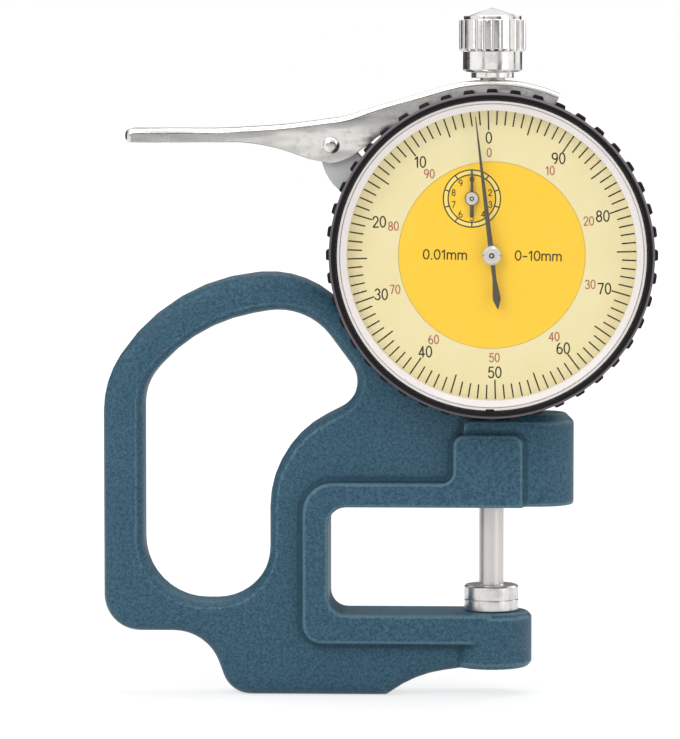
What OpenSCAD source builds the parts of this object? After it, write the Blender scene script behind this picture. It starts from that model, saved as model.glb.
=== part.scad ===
// Dial thickness gauge with a hand grip, a thumb lever and a turning bezel.
// The front of the dial faces -Y and up is +Z.
// The origin is the centre of the anvil face, on the spindle axis.

/* [Measuring] */
// Stroke of the spindle
travel = 10; // [6:0.5:10]
// Depth of the measuring throat behind the spindle axis
throat_depth = 30; // [27:0.5:32]
// Height of the dial centre above the anvil face
dial_z = 64.2; // [63:0.1:66]
// Diameter of the spindle
spindle_d = 4.5; // [4:0.1:5]
// Diameter of the anvil and of the contact disc
contact_d = 10; // [8:0.5:12]
// Height of the contact disc
contact_h = 2.65; // [2:0.05:3.5]
// Height that the anvil stands out of the arm
anvil_h = 2.15; // [1.5:0.05:3]

/* [Frame] */
// Reach of the grip behind the spindle axis
grip_reach = 71.8; // [68:0.5:76]
// Thickness of the grip and web
body_t = 10; // [8:0.5:12]
// Thickness of the jaw that carries the dial
jaw_t = 13.2; // [12:0.2:14]
// Thickness of the raised band round the throat
band_t = 14.6; // [14:0.2:14.8]
// Underside of the upper jaw above the anvil face
jaw_z = 17.5; // [16:0.25:19]
// Length of the upper jaw in front of the spindle axis
jaw_reach = 15.2; // [13:0.2:18]
// Radius of the boss that holds the anvil
boss_r = 7.5; // [6.5:0.1:7.5]

/* [Case and bezel] */
// How far the teeth of the bezel stand out past the case
bezel_lap = 1.9; // [1.6:0.1:2.6]
// Number of teeth on the bezel
bezel_teeth = 44; // [30:1:60]
// Depth of the bezel from its back to its front
bezel_t = 8.8; // [8.8:0.1:10]
// Diameter of the case
case_d = 56.8; // [56:0.2:57.2]
// Width of the scale that turns with the bezel
scale_w = 10.75; // [8.75:0.1:12.75]

/* [Lever and cap] */
// Distance of the lever pivot from the case
pivot_gap = 7.162; // [5.962:0.1:8.962]
// Length of the thumb lever behind its pivot
lever_len = 38; // [32:0.5:44]
// Width of the lever across its cheeks
lever_w = 11; // [10.4:0.2:11.4]
// Diameter of the fluted cap
cap_d = 12.3; // [11:0.1:13.5]
// Number of flutes on the cap
cap_flutes = 24; // [16:1:30]

/* [Movement] */
// Pitch of the rack on the spindle
rack_pitch = 0.625; // [0.6:0.005:0.63]
// Teeth of the rack pinion
rack_pinion_teeth = 16; // [14:1:18]
// Teeth of the transfer wheel and the counter wheel
wheel_teeth = 100; // [90:2:100]
// Teeth of the centre pinion
centre_teeth = 10; // [8:2:10]

/* [Hidden] */
$fn = 96;

// Overrun of every cut
over = 0.5;
// Gap between fixed pieces that fit together
fit = 0.01;
// Gap round turning and sliding pieces
run = 0.03;

// Frame: outline shares of the grip reach, the dial height and the dial height
grip_shares = [
    [1, 0.631, 0.288],
    [1, -0.093, 0.104],
    [0.733, -0.093, 0.138],
    [0.673, -0.276, 0.084],
    [0.269, -0.276, 0],
    [0.196, -0.216, 0.34],
    [0.03, -0.19, 0]
];
crest_shares = [
    [0.491, 0.953, 0.28],
    [0.829, 0.922, 0.52]
];
neck_share = 0.787;
loop_shares = [
    [0.896, -0.003, 0.178],
    [0.570, -0.003, 0.156],
    [0.570, 0.450, 0.295],
    [0.307, 0.600, 0.085],
    [0.475, 0.854, 0.187],
    [0.753, 0.799, 0.467],
    [0.896, 0.621, 0.156]
];
body_round = 2.6;
jaw_round = 1.6;
band_round = 0.45;
jaw_h = 17.25;
throat_r = 3.2;
throat_inset = 1;
arm_drop = 0.15;
jaw_rise = 0.2;
band_left = 4.8;
band_up = 4.6;
band_down = 5.65;
band_corner = 5.6;
block_left = 7.1;
block_right = 5.8;
block_h = 13.5;
block_r = 2;
boss_h = 10.4;
boss_round = 0.9;
cradle_gap = 0.3;
round_steps = 3;
arc_step = 9;

// Anvil and its shank
anvil_chamfer = 0.35;
shank_d = 5;
shank_len = 6;

// Stem, its screw and the lower bush
stem_d = 8;
stem_bore = 6.4;
stem_end = 2.2;
stem_top_gap = 0.9;
stem_screw_d = 4;
stem_screw_z = 8.4;
socket_d = 2;
socket_depth = 1.6;
lower_bush_len = 9;

// Case: depths measured along Y from the spindle axis
case_front = -6;
case_back = 7.8;
spigot_front = -9.2;
spigot_step = 1.4;
case_wall = 1.2;
cover_t = 1.2;
cover_lap = 1.1;
screw_inset = 2.2;
screw_boss_r = 2.4;
case_screw_d = 1.4;
case_screw_len = 3.6;
case_edge = 0.5;
bush_seat_r = 4.6;
upper_bush_d = 7;
upper_bush_len = 3.2;
upper_bush_collar = 0.7;
upper_bush_collar_d = 8.4;

// Lever, its pivot, its lug on the case and its screw
pivot_angle = 146.0508;
lug_t = 8.6;
lug_r = 2.7;
lug_pad_r = 9.4;
lug_pad_in = 7.5;
lug_pad_turn = -7.7;
lug_pad_angles = [190, 245];
lug_shoulder_in = 5.3;
lug_shoulder_drop = 2.2;
lever_sheet = 1;
lever_gap = 0.5;
lever_arch_w = 3;
lever_arch_end = 67;
lever_arch_start = 104;
lever_inner_start = 118;
lobe_r = 3.35;
lobe_angles = [245, 290];
tip_r = 1.2;
tip_top = 3.1;
tip_bottom = 0.5;
fork_half = 2.75;
fork_back = 3.6;
lever_top_shares = [[0.10, 0.117], [0.24, 0.10], [0.55, 0.082]];
lever_top_front_shares = [[0.27, 0.242], [0.07, 0.177]];
lever_low_shares = [[0.42, 0.014], [0.27, -0.012], [0.153, -0.049], [0.104, -0.066]];
lever_low_front_shares = [[0.097, -0.084], [0.128, -0.069], [0.178, -0.031], [0.241, 0.016], [0.297, 0.059]];
pivot_d = 2;
pivot_head_d = 3.1;
pivot_head_h = 0.8;

// Spindle and cap
stud_d = 3;
stud_len = 7;
contact_stud_d = 2.4;
contact_stud_len = 4;
contact_chamfer = 0.4;
cap_gap = 0.3;
neck_d = 7.8;
neck_h = 1.5;
collar_d = 10.9;
collar_h = 3.9;
flute_h = 5.6;
cone_h = 1.9;
cone_tip_d = 1.2;
flute_r = 0.42;
cap_edge = 0.35;
guide_pin_d = 1.2;
guide_pin_z = -4;
guide_pin_end = 5.4;
spring_pin_d = 1.2;
spring_pin_z = 4.3;
spring_pin_end = 7.7;

// Rack and gears: shares of the module and of the tooth pitch
addendum_share = 0.9;
dedendum_share = 1.25;
rack_tooth_share = 0.38;
rack_slope_share = 0.1;
wheel_root_share = 0.27;
wheel_tip_share = 0.1;
pinion_root_share = 0.21;
pinion_tip_share = 0.1;
rack_spare = 2;

// Plates, pillars and arbors of the movement
base_y = -4;
base_t = 1.2;
base_gap = 0.7;
bridge_y = -8;
bridge_t = 1;
bridge_rim = 2.2;
pillar_inset = 9.1;
pillar_gap = 0.848;
pillar_r = 1.3;
bridge_screw_d = 1.2;
bridge_head_r = 1.1;
bridge_head_h = 0.6;
window_in = 3.8;
window_gap = 0.8;
wheel_room = 4.7319;
wheel_y = -5.4;
wheel_t = 0.6;
wheel_rim_w = 1.6;
wheel_hub_r = 1.5;
wheel_hub_t = 0.9;
wheel_spokes = 4;
spoke_w = 1.2;
arbor_r = 0.7;
pivot_r = 0.35;
pivot_end = 0.2;
rack_arbor_r = 1;
rack_pinion_w = 3.6;
rear_bridge_y = 2.6;
rear_bridge_t = 1;
rear_bridge_w = 4.6;
rear_post_r = 1.2;
rear_post_x = 9.6;
rear_post_z = 4.4;
centre_pinion_front = -6.1;
centre_pinion_back = -4.5;

// Hairspring, guide rail and pull-down spring
hair_inner_r = 1.9;
hair_pitch = 0.55;
hair_turns = 5;
hair_w = 0.14;
hair_y = -6.75;
hair_h = 0.45;
hair_step = 15;
stud_r = 0.4;
rail_y = 3.8;
rail_w = 6;
rail_screw_gap = 3.6;
rail_screw_end = 2.2;
rail_screw_d = 1.6;
rail_head_d = 2.8;
rail_head_h = 1;
spring_x = -6.5;
spring_post_inset = 6.9;
spring_post_d = 1.6;
spring_post_end = 1.2;
spring_r = 1.6;
spring_wire_r = 0.24;
spring_turns = 12.75;
spring_steps = 12;
spring_sides = 6;
eye_r = 1.22;

// Dial, pointers and bezel
dial_face_y = -10.5;
dial_t = 0.4;
dial_hole_r = 1.3;
dial_foot_r = 0.7;
dial_foot_in = 4;
scale_inner_gap = 0.15;
scale_gap = 0.3;
tick_inset = 0.2;
tick_len = 2.4;
tick_long = 3.35;
tick_w = 0.22;
tick_depth = 0.06;
tick_count = 100;
scale_turn = 1.57;
pointer_y = -12.3;
pointer_t = 0.2;
pointer_gap = 0.65;
pointer_hub_w = 0.97;
pointer_tail = 9.9;
pointer_wide = 1.45;
pointer_wide_at = 8;
pointer_waist = 0.7;
pointer_tip_w = 0.12;
pointer_turn = 6.8;
hub_r = 1.78;
hub_y = -12.9;
hub_back = -11.4;
hub_chamfer = 0.5;
small_y = -11.2;
small_t = 0.18;
small_tip = 5;
small_hub_w = 0.57;
small_tip_w = 0.37;
small_tail = 3.3;
small_tail_w = 0.75;
small_hub_r = 1.15;
small_hub_y = -11.5;
bezel_back = -6.2;
bezel_tooth_h = 0.7;
bezel_wall = 1.4;
bezel_tooth_back = 4.8;
tooth_base_share = 0.48;
tooth_top_share = 0.38;
bezel_ledge_in = 0.9;
bezel_ledge_y = -10.1;
bezel_ledge_t = 0.6;
bezel_edge = 0.45;
tab_w = 1.7;
tab_in = 0.5;
tab_t = 0.45;
wire_r = 0.35;
wire_y = -7.7;
groove_w = 1.1;
wire_groove_h = 0.5;
ring_w = 1.75;
ring_bevel_y = -13.3;
ring_lip_w = 0.4;
ring_lip_y = -14.3;
ring_front_y = -14.45;
ring_fit = 0.05;
crystal_back = -12.9;
crystal_t = 0.9;

// Worked out from the sizes above
frame_colour = [0.2, 0.36, 0.45];
nickel = [0.78, 0.78, 0.76];
steel = [0.68, 0.67, 0.65];
brass = [0.79, 0.66, 0.33];
case_r = case_d / 2;
spigot_r = case_r - spigot_step;
case_bore_r = spigot_r - case_wall;
cover_r = case_bore_r + cover_lap;
screw_ring_r = case_bore_r - screw_inset;
base_r = case_bore_r - base_gap;
lever_inner_r = case_r + lever_gap;
lever_arch_r = lever_inner_r + lever_arch_w;
bezel_d = case_d + 2 * bezel_lap;
bezel_rim_r = bezel_d / 2 - bezel_tooth_h;
bezel_pocket_r = bezel_rim_r - bezel_wall;
bezel_ledge_r = spigot_r - bezel_ledge_in;
wire_groove_r = spigot_r - wire_groove_h;
ring_r = bezel_pocket_r - ring_fit;
ring_bore_r = ring_r - ring_w;
ring_lip_r = ring_r - ring_lip_w;
scale_r = bezel_pocket_r - scale_gap;
tick_r = ring_bore_r - tick_inset;
pointer_tip = tick_r - pointer_gap;
inner_dial_r = scale_r - scale_w - scale_inner_gap;
dial_foot_ring = inner_dial_r - dial_foot_in;
window_r = (dial_foot_ring - window_gap - window_in) / 2;
pillar_ring_r = base_r - pillar_inset;
rack_module = rack_pitch / PI;
wheel_module = (case_bore_r - wheel_room) / (wheel_teeth + centre_teeth / 2 + addendum_share);
rack_pinion_rp = rack_module * rack_pinion_teeth / 2;
wheel_rp = wheel_module * wheel_teeth / 2;
centre_rp = wheel_module * centre_teeth / 2;
pitch_line = spindle_d / 2 - rack_module;
arbor_x = pitch_line + rack_pinion_rp;
arbor_span = wheel_rp + centre_rp;
arbor_z = sqrt(arbor_span * arbor_span - arbor_x * arbor_x);
arbor_angle = atan2(arbor_z, -arbor_x);
rack_place = [arbor_x, dial_z - arbor_z];
counter_place = [-arbor_x, dial_z + arbor_z];
centre_place = [0, dial_z];
pivot_reach = -(case_r + pivot_gap) * cos(pivot_angle);
pivot_place = [-pivot_reach, dial_z + (case_r + pivot_gap) * sin(pivot_angle)];
case_top = dial_z + case_r;
cradle_r = case_r + cradle_gap;
jaw_top = jaw_z + jaw_h;
block_top = jaw_z + block_h;
lever_top = dial_z + lever_arch_r;
neck_z = lever_top + cap_gap;
collar_z = neck_z + neck_h;
flute_z = collar_z + collar_h;
cone_z = flute_z + flute_h;
stem_z = jaw_z + stem_end;
stem_top = dial_z - case_r + stem_top_gap;
bezel_front = bezel_back - bezel_t;
guide_z = dial_z + guide_pin_z;
rail_screw_z = travel + guide_pin_z + guide_pin_d + rail_screw_gap;
rail_half_h = rail_screw_z + rail_screw_end;
spring_top_z = dial_z + spring_pin_z;
spring_low_z = dial_z - base_r + spring_post_inset;
bore_r = spindle_d / 2 + run;
base_back = base_y + base_t;
bridge_r = pillar_ring_r + bridge_rim;
pillar_span = wheel_rp + wheel_module * addendum_share + pillar_r + pillar_gap;
pillar_turn = acos((pillar_ring_r * pillar_ring_r + arbor_span * arbor_span - pillar_span * pillar_span)
    / (2 * pillar_ring_r * arbor_span));
hair_end_r = hair_inner_r + hair_pitch * hair_turns;

// Shapes lying in the front view and running along Y
module along(y0, y1) {
    translate([0, y1, 0]) rotate([90, 0, 0]) linear_extrude(y1 - y0) children();
}

module bar(place, r, y0, y1) {
    translate([place[0], y1, place[1]]) rotate([90, 0, 0]) cylinder(r = r, h = y1 - y0);
}

module turned(place, outline) {
    translate([place[0], 0, place[1]]) rotate([-90, 0, 0]) rotate_extrude() polygon(outline);
}

module upright(outline) {
    rotate_extrude() polygon(outline);
}

// Outlines with rounded corners, given as corner points with a radius each
function unit(v) = v / norm(v);
function turn_of(a, b) = a[0] * b[1] - a[1] * b[0];
function flat(p) = [p[0], p[1]];
function corner(a, b, c) = let (
        u = unit(flat(a) - flat(b)),
        w = unit(flat(c) - flat(b)),
        half = acos(max(-1, min(1, u * w))) / 2,
        reach = b[2] / tan(half),
        middle = flat(b) + unit(u + w) * b[2] / sin(half),
        start = flat(b) + u * reach,
        side = turn_of(u, w) > 0 ? 1 : -1,
        sweep = 180 - 2 * half,
        steps = max(2, ceil(sweep / arc_step)),
        arm = start - middle,
        base = atan2(arm[1], arm[0])
    ) b[2] == 0 ? [flat(b)] : [
        for (i = [0:steps])
            middle + b[2] * [cos(base - side * sweep * i / steps), sin(base - side * sweep * i / steps)]
    ];
function rounded(p) = let (n = len(p)) [
    for (i = [0:n - 1]) each corner(p[(i + n - 1) % n], p[i], p[(i + 1) % n])
];
function grown(p, d) = let (n = len(p)) [
    for (i = [0:n - 1]) let (
        a = unit(p[i] - p[(i + n - 1) % n]),
        b = unit(p[(i + 1) % n] - p[i]),
        m = unit([a[1] + b[1], -a[0] - b[0]])
    ) p[i] + m * d / (m * [b[1], -b[0]])
];
// Triangles that fill an outline, cut off one ear at a time
function holds(a, b, c, q) =
    turn_of(b - a, q - a) >= 0 && turn_of(c - b, q - b) >= 0 && turn_of(a - c, q - c) >= 0;
function is_ear(p, left, i) = let (
        m = len(left),
        a = p[left[(i + m - 1) % m]],
        b = p[left[i]],
        c = p[left[(i + 1) % m]]
    ) turn_of(b - a, c - b) > 0
    && len([for (j = [2:m - 2]) if (holds(a, b, c, p[left[(i + j) % m]])) j]) == 0;
function next_ear(p, left, i) = i == len(left) - 1 || is_ear(p, left, i) ? i : next_ear(p, left, i + 1);
function ears(p, left, found) = len(left) == 3 ? concat(found, [left]) : let (
        m = len(left),
        i = next_ear(p, left, 0),
        ear = [left[(i + m - 1) % m], left[i], left[(i + 1) % m]]
    ) ears(p, [for (j = [1:m - 1]) left[(i + j) % m]], concat(found, [ear]));
function arc(place, r, a0, a1) = let (n = max(2, ceil(abs(a1 - a0) / arc_step))) [
    for (i = [0:n]) let (a = a0 + (a1 - a0) * i / n) [place[0] + r * cos(a), place[1] + r * sin(a)]
];

// A plate of thickness t with its long edges rounded: grow is -1 for a plate, 1 for a hole
module soft_plate(outline, t, soft, grow) {
    n = len(outline);
    rings = [
        for (k = [0:2 * round_steps + 1]) let (
            up = k <= round_steps,
            a = 90 * (up ? k : k - round_steps - 1) / round_steps,
            y = up ? -t / 2 + soft * (1 - cos(a)) : t / 2 - soft * (1 - sin(a)),
            d = soft * (up ? 1 - sin(a) : 1 - cos(a))
        ) [y, grow * d]
    ];
    count = len(rings);
    points = [for (r = rings) for (p = grown(outline, r[1])) [p[0], p[1], r[0]]];
    cap = ears(grown(outline, rings[0][1]), [for (i = [0:n - 1]) i], []);
    faces = [
        each cap,
        for (c = cap) [for (i = [2:-1:0]) (count - 1) * n + c[i]],
        for (k = [0:count - 2]) for (i = [0:n - 1]) let (j = (i + 1) % n)
            [k * n + i, (k + 1) * n + i, (k + 1) * n + j, k * n + j]
    ];
    rotate([90, 0, 0]) polyhedron(points, faces);
}

function from_shares(s) = [for (p = s) [-p[0] * grip_reach, p[1] * dial_z, p[2] * dial_z]];

// Frame
function body_corners() = concat(
    from_shares(grip_shares),
    [
        [-block_left / 4, -anvil_h - throat_inset, 0],
        [-throat_depth - throat_inset, -anvil_h - throat_inset, throat_r],
        [-throat_depth - throat_inset, jaw_z + throat_inset, throat_r],
        [block_right - throat_inset, jaw_z + throat_inset, 0],
        [block_right - throat_inset, block_top, 0],
        [0, dial_z - case_r / 2, 0]
    ],
    [[-case_r * neck_share, dial_z * neck_share, 0]],
    from_shares(crest_shares)
);

function band_corners() = [
    [-throat_depth - band_left, -anvil_h - band_down, throat_r + band_round],
    [0, -anvil_h - band_down, 0],
    [0, -anvil_h - arm_drop, 0],
    [-throat_depth, -anvil_h - arm_drop, throat_r],
    [-throat_depth, jaw_z, throat_r],
    [block_right, jaw_z, 0],
    [block_right, block_top, block_r],
    [-block_left, block_top, block_r],
    [-block_left, jaw_z + band_up, block_r],
    [-throat_depth - band_left, jaw_z + band_up, band_corner]
];

module jaw() {
    end_r = jaw_t / 2;
    low = jaw_z + jaw_rise;
    translate([-block_left + block_r, 0, 0]) rotate([90, 0, 90])
        linear_extrude(block_left - block_r + jaw_reach - end_r) polygon([
            [-end_r, low], [end_r, low], [end_r, jaw_top - jaw_round], [end_r - jaw_round, jaw_top],
            [-end_r + jaw_round, jaw_top], [-end_r, jaw_top - jaw_round]
        ]);
    translate([jaw_reach - end_r, 0, 0]) upright([
        [0, low], [end_r, low], [end_r, jaw_top - jaw_round], [end_r - jaw_round, jaw_top], [0, jaw_top]
    ]);
}

module frame() {
    color(frame_colour) difference() {
        union() {
            difference() {
                soft_plate(rounded(body_corners()), body_t, body_round, -1);
                soft_plate(rounded(from_shares(loop_shares)), body_t + over, body_round, 1);
            }
            soft_plate(rounded(band_corners()), band_t, band_round, -1);
            jaw();
            translate([0, 0, -anvil_h - boss_h]) upright([
                [0, 0], [boss_r - boss_round, 0], [boss_r, boss_round],
                [boss_r, boss_h - boss_round], [boss_r - boss_round, boss_h], [0, boss_h]
            ]);
        }
        bar(centre_place, cradle_r, -band_t, band_t);
        bar(centre_place, bezel_d / 2 + cradle_gap, -band_t, case_front + 2 * cradle_gap);
        translate([0, 0, -anvil_h - shank_len]) cylinder(d = shank_d + 2 * fit, h = shank_len + over);
        translate([0, 0, stem_z]) cylinder(d = stem_d + 2 * fit, h = jaw_top);
        translate([0, 0, jaw_z - over]) cylinder(d = spindle_d + 4 * cradle_gap, h = stem_end + 2 * over);
        bar([0, jaw_z + stem_screw_z], stem_screw_d / 2 + fit, 0, band_t);
    }
}

module anvil() {
    color(steel) {
        upright([
            [0, -anvil_h - shank_len], [shank_d / 2, -anvil_h - shank_len], [shank_d / 2, -anvil_h],
            [contact_d / 2, -anvil_h], [contact_d / 2, -anvil_chamfer],
            [contact_d / 2 - anvil_chamfer, 0], [0, 0]
        ]);
    }
}

module stem() {
    color(steel) difference() {
        translate([0, 0, stem_z]) cylinder(d = stem_d, h = stem_top - stem_z);
        translate([0, 0, stem_z - over]) cylinder(d = stem_bore, h = stem_top - stem_z + 2 * over);
    }
}

module stem_screw() {
    color(steel) difference() {
        bar([0, jaw_z + stem_screw_z], stem_screw_d / 2, stem_d / 2, band_t / 2);
        along(band_t / 2 - socket_depth, band_t / 2 + over)
            translate([0, jaw_z + stem_screw_z]) circle(d = socket_d, $fn = 6);
    }
}

module lower_bush() {
    color(brass) difference() {
        translate([0, 0, stem_z]) cylinder(d = stem_bore - 2 * fit, h = lower_bush_len);
        translate([0, 0, stem_z - over]) cylinder(r = bore_r, h = lower_bush_len + 2 * over);
    }
}

// Case, its covers and its screws
function ring_place(r, a) = centre_place + r * [cos(a), sin(a)];

module case() {
    pad_place = pivot_place + lug_pad_in * [cos(lug_pad_turn), sin(lug_pad_turn)];
    pad_edge = arc(pad_place, lug_pad_r, lug_pad_angles[0], lug_pad_angles[1]);
    pad_end = pad_edge[len(pad_edge) - 1];
    shoulder = pivot_place + [lug_shoulder_in, -lug_shoulder_drop];
    seat_r = case_r - case_edge;
    color(steel) difference() {
        union() {
            difference() {
                turned(centre_place, [
                    [0, spigot_front], [spigot_r, spigot_front], [spigot_r, case_front],
                    [case_r - case_edge, case_front], [case_r, case_front + case_edge],
                    [case_r, case_back - case_edge], [case_r - case_edge, case_back], [0, case_back]
                ]);
                bar(centre_place, case_bore_r, spigot_front - over, case_back + over);
            }
            intersection() {
                bar(centre_place, case_bore_r + over, base_back, case_back - cover_t);
                for (i = [0:3]) bar(ring_place(screw_ring_r, 45 + 90 * i), screw_boss_r, base_back,
                    case_back);
            }
            difference() {
                union() {
                    bar(pivot_place, lug_r, -lug_t / 2, lug_t / 2);
                    along(-lug_t / 2, lug_t / 2) polygon(concat(pad_edge, [
                        ring_place(seat_r, atan2(pad_end[1] - dial_z, pad_end[0])),
                        ring_place(seat_r, 180 - asin((shoulder[1] - dial_z) / seat_r)),
                        shoulder,
                        pivot_place + lug_r * unit([lug_shoulder_drop, lug_shoulder_in])
                    ]));
                    translate([0, 0, dial_z + case_bore_r])
                        cylinder(r = bush_seat_r, h = case_r - case_bore_r);
                }
                bar(centre_place, case_bore_r, -case_back, case_back);
            }
        }
        bar(centre_place, cover_r + fit, case_back - cover_t, case_back + over);
        turned(centre_place, [
            [wire_groove_r, wire_y - groove_w / 2], [spigot_r + over, wire_y - groove_w / 2],
            [spigot_r + over, wire_y + groove_w / 2], [wire_groove_r, wire_y + groove_w / 2]
        ]);
        translate([0, 0, dial_z - case_r - over]) cylinder(d = stem_d + 2 * fit, h = case_r / 2);
        translate([0, 0, dial_z + case_r / 2]) cylinder(d = upper_bush_d + 2 * fit, h = case_r);
        bar(pivot_place, pivot_d / 2 + fit, -lug_t, lug_t);
        for (i = [0:3]) {
            bar(ring_place(screw_ring_r, 45 + 90 * i), case_screw_d / 2 + fit, base_back - over,
                case_back + over);
        }
    }
}

module upper_bush() {
    color(brass) difference() {
        union() {
            translate([0, 0, case_top - upper_bush_len]) cylinder(d = upper_bush_d, h = upper_bush_len);
            translate([0, 0, case_top]) cylinder(d = upper_bush_collar_d, h = upper_bush_collar);
        }
        translate([0, 0, case_top - upper_bush_len - over])
            cylinder(r = bore_r, h = upper_bush_len + 4 * over);
    }
}

module back_cover() {
    color(steel) difference() {
        turned(centre_place, [
            [0, case_back - cover_t], [cover_r, case_back - cover_t],
            [cover_r, case_back - cover_t / 3], [cover_r - cover_t / 3, case_back], [0, case_back]
        ]);
        for (i = [0:3]) {
            bar(ring_place(screw_ring_r, 45 + 90 * i), case_screw_d / 2 + run, 0, case_back + over);
            bar(ring_place(screw_ring_r, 45 + 90 * i), case_screw_d + run, case_back - cover_t / 2,
                case_back + over);
        }
        for (s = [-1, 1]) {
            bar([0, dial_z + s * rail_screw_z], rail_screw_d / 2 + fit, 0, case_back + over);
        }
    }
}

// A round-headed screw along Y with a slot, its head at y and its shank running the way dir points
module screw(place, y, dir, shank_r, shank, head_r, head, slot) {
    difference() {
        union() {
            bar(place, shank_r, min(y, y + dir * shank), max(y, y + dir * shank));
            bar(place, head_r, min(y, y - dir * head), max(y, y - dir * head));
        }
        along(min(y - dir * head / 2, y - dir * (head + slot)),
            max(y - dir * head / 2, y - dir * (head + slot)))
            translate(place) square([2 * head_r + slot, slot], center = true);
    }
}

module cover_screws() {
    color(nickel) for (i = [0:3]) {
        screw(ring_place(screw_ring_r, 45 + 90 * i), case_back - cover_t / 2, -1,
            case_screw_d / 2, case_screw_len, case_screw_d, cover_t / 2, case_screw_d / 4);
    }
}

// Movement plates
module base_plate() {
    color(brass) difference() {
        bar(centre_place, base_r, base_y, base_back);
        bar(centre_place, pivot_r + run, base_y - over, base_back + over);
        bar(counter_place, pivot_r + run, base_y - over, base_back + over);
        bar(rack_place, rack_arbor_r + run, base_y - over, base_back + over);
        for (i = [0:3]) {
            bar(ring_place(screw_ring_r, 45 + 90 * i), case_screw_d / 2 + fit, base_y - over,
                base_back + over);
            bar(ring_place(pillar_ring_r, pillar_angle(i)), bridge_screw_d / 2 + fit, base_y - over,
                base_back + over);
        }
        bar([spring_x, spring_low_z], spring_post_d / 2 + fit, base_y - over, base_back + over);
    }
}

function pillar_angle(i) = arbor_angle + 180 * floor(i / 2) + pillar_turn * (2 * (i % 2) - 1);

module plate_screws() {
    color(nickel) for (i = [0:3]) {
        screw(ring_place(screw_ring_r, 45 + 90 * i), base_y, 1,
            case_screw_d / 2, case_screw_len, case_screw_d, case_screw_d / 2, case_screw_d / 4);
    }
}

module pillars() {
    color(brass) for (i = [0:3]) {
        difference() {
            bar(ring_place(pillar_ring_r, pillar_angle(i)), pillar_r, bridge_y + bridge_t, base_y);
            bar(ring_place(pillar_ring_r, pillar_angle(i)), bridge_screw_d / 2 + fit,
                bridge_y, base_y - bridge_t / 2);
        }
        bar(ring_place(pillar_ring_r, pillar_angle(i)), bridge_screw_d / 2, base_y, base_back);
    }
}

module front_plate() {
    color(brass) difference() {
        bar(centre_place, bridge_r, bridge_y, bridge_y + bridge_t);
        bar(centre_place, arbor_r + run, bridge_y - over, base_y);
        bar(counter_place, arbor_r + run, bridge_y - over, base_y);
        bar(rack_place, pivot_r + run, bridge_y - over, base_y);
        for (i = [0:3]) {
            bar(ring_place(pillar_ring_r, pillar_angle(i)), bridge_screw_d / 2 + fit, bridge_y - over,
                base_y);
        }
        for (s = [0, 180]) {
            bar(ring_place(window_in + window_r, arbor_angle + s - 90), window_r, bridge_y - over, base_y);
            bar(ring_place(dial_foot_ring, arbor_angle + s - 90), dial_foot_r + fit, bridge_y - over,
                base_y);
        }
        bar(hair_stud_place(), stud_r + fit, bridge_y - over, base_y);
    }
}

module bridge_screws() {
    color(nickel) for (i = [0:3]) {
        screw(ring_place(pillar_ring_r, pillar_angle(i)), bridge_y, 1,
            bridge_screw_d / 2, bridge_t + bridge_t, bridge_head_r, bridge_head_h, bridge_screw_d / 4);
    }
}

function rear_post_place(s) = [rear_post_x, rack_place[1] + s * rear_post_z];

module rear_bridge() {
    color(brass) difference() {
        union() {
            along(rear_bridge_y, rear_bridge_y + rear_bridge_t) polygon(rounded([
                [bore_r + run, rack_place[1] - rear_bridge_w / 2, rear_post_r],
                [rear_post_x - rear_post_r, rack_place[1] - rear_bridge_w / 2, 0],
                [rear_post_x - rear_post_r, rack_place[1] - rear_post_z - rear_post_r, rear_post_r / 2],
                [rear_post_x + rear_post_r, rack_place[1] - rear_post_z - rear_post_r, rear_post_r / 2],
                [rear_post_x + rear_post_r, rack_place[1] + rear_post_z + rear_post_r, rear_post_r / 2],
                [rear_post_x - rear_post_r, rack_place[1] + rear_post_z + rear_post_r, rear_post_r / 2],
                [rear_post_x - rear_post_r, rack_place[1] + rear_bridge_w / 2, 0],
                [bore_r + run, rack_place[1] + rear_bridge_w / 2, rear_post_r]
            ]));
            for (s = [-1, 1]) bar(rear_post_place(s), rear_post_r, base_back, rear_bridge_y + rear_bridge_t);
        }
        bar(rack_place, pivot_r + run, rear_bridge_y - over, rear_bridge_y + rear_bridge_t + over);
    }
}

// Hairspring: a flat spiral whose outer end is pinned to a stud in the front plate
function hair_point(i, side) = let (
        a = i * hair_step,
        r = hair_inner_r + hair_pitch * a / 360 + side * hair_w / 2
    ) [counter_place[0] + r * cos(a), counter_place[1] + r * sin(a)];
function hair_stud_place() = [counter_place[0] + hair_end_r, counter_place[1]];

module hairspring() {
    last = hair_turns * 360 / hair_step;
    color(steel) along(hair_y, hair_y + hair_h) polygon(concat(
        [for (i = [0:last]) hair_point(i, -1)],
        [for (i = [last:-1:0]) hair_point(i, 1)]
    ));
}

module hairspring_stud() {
    color(brass) difference() {
        bar(hair_stud_place(), stud_r, bridge_y + bridge_t / 2, hair_y + hair_h);
        along(hair_y, hair_y + hair_h + over) translate(hair_stud_place())
            square([hair_w + 2 * fit, 4 * stud_r], center = true);
    }
}

// Gears and racks
function gear_points(n, pitch_module, root_share, tip_share, turn) = [
    for (i = [0:n - 1]) for (k = [0:3]) let (
        half = k == 0 ? -root_share : k == 1 ? -tip_share : k == 2 ? tip_share : root_share,
        r = pitch_module * (n / 2 + (k == 0 || k == 3 ? -dedendum_share : addendum_share)),
        a = turn + (i + half) * 360 / n
    ) [r * cos(a), r * sin(a)]
];

module gear(place, y0, y1, points) {
    along(y0, y1) translate(place) polygon(points);
}

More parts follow.
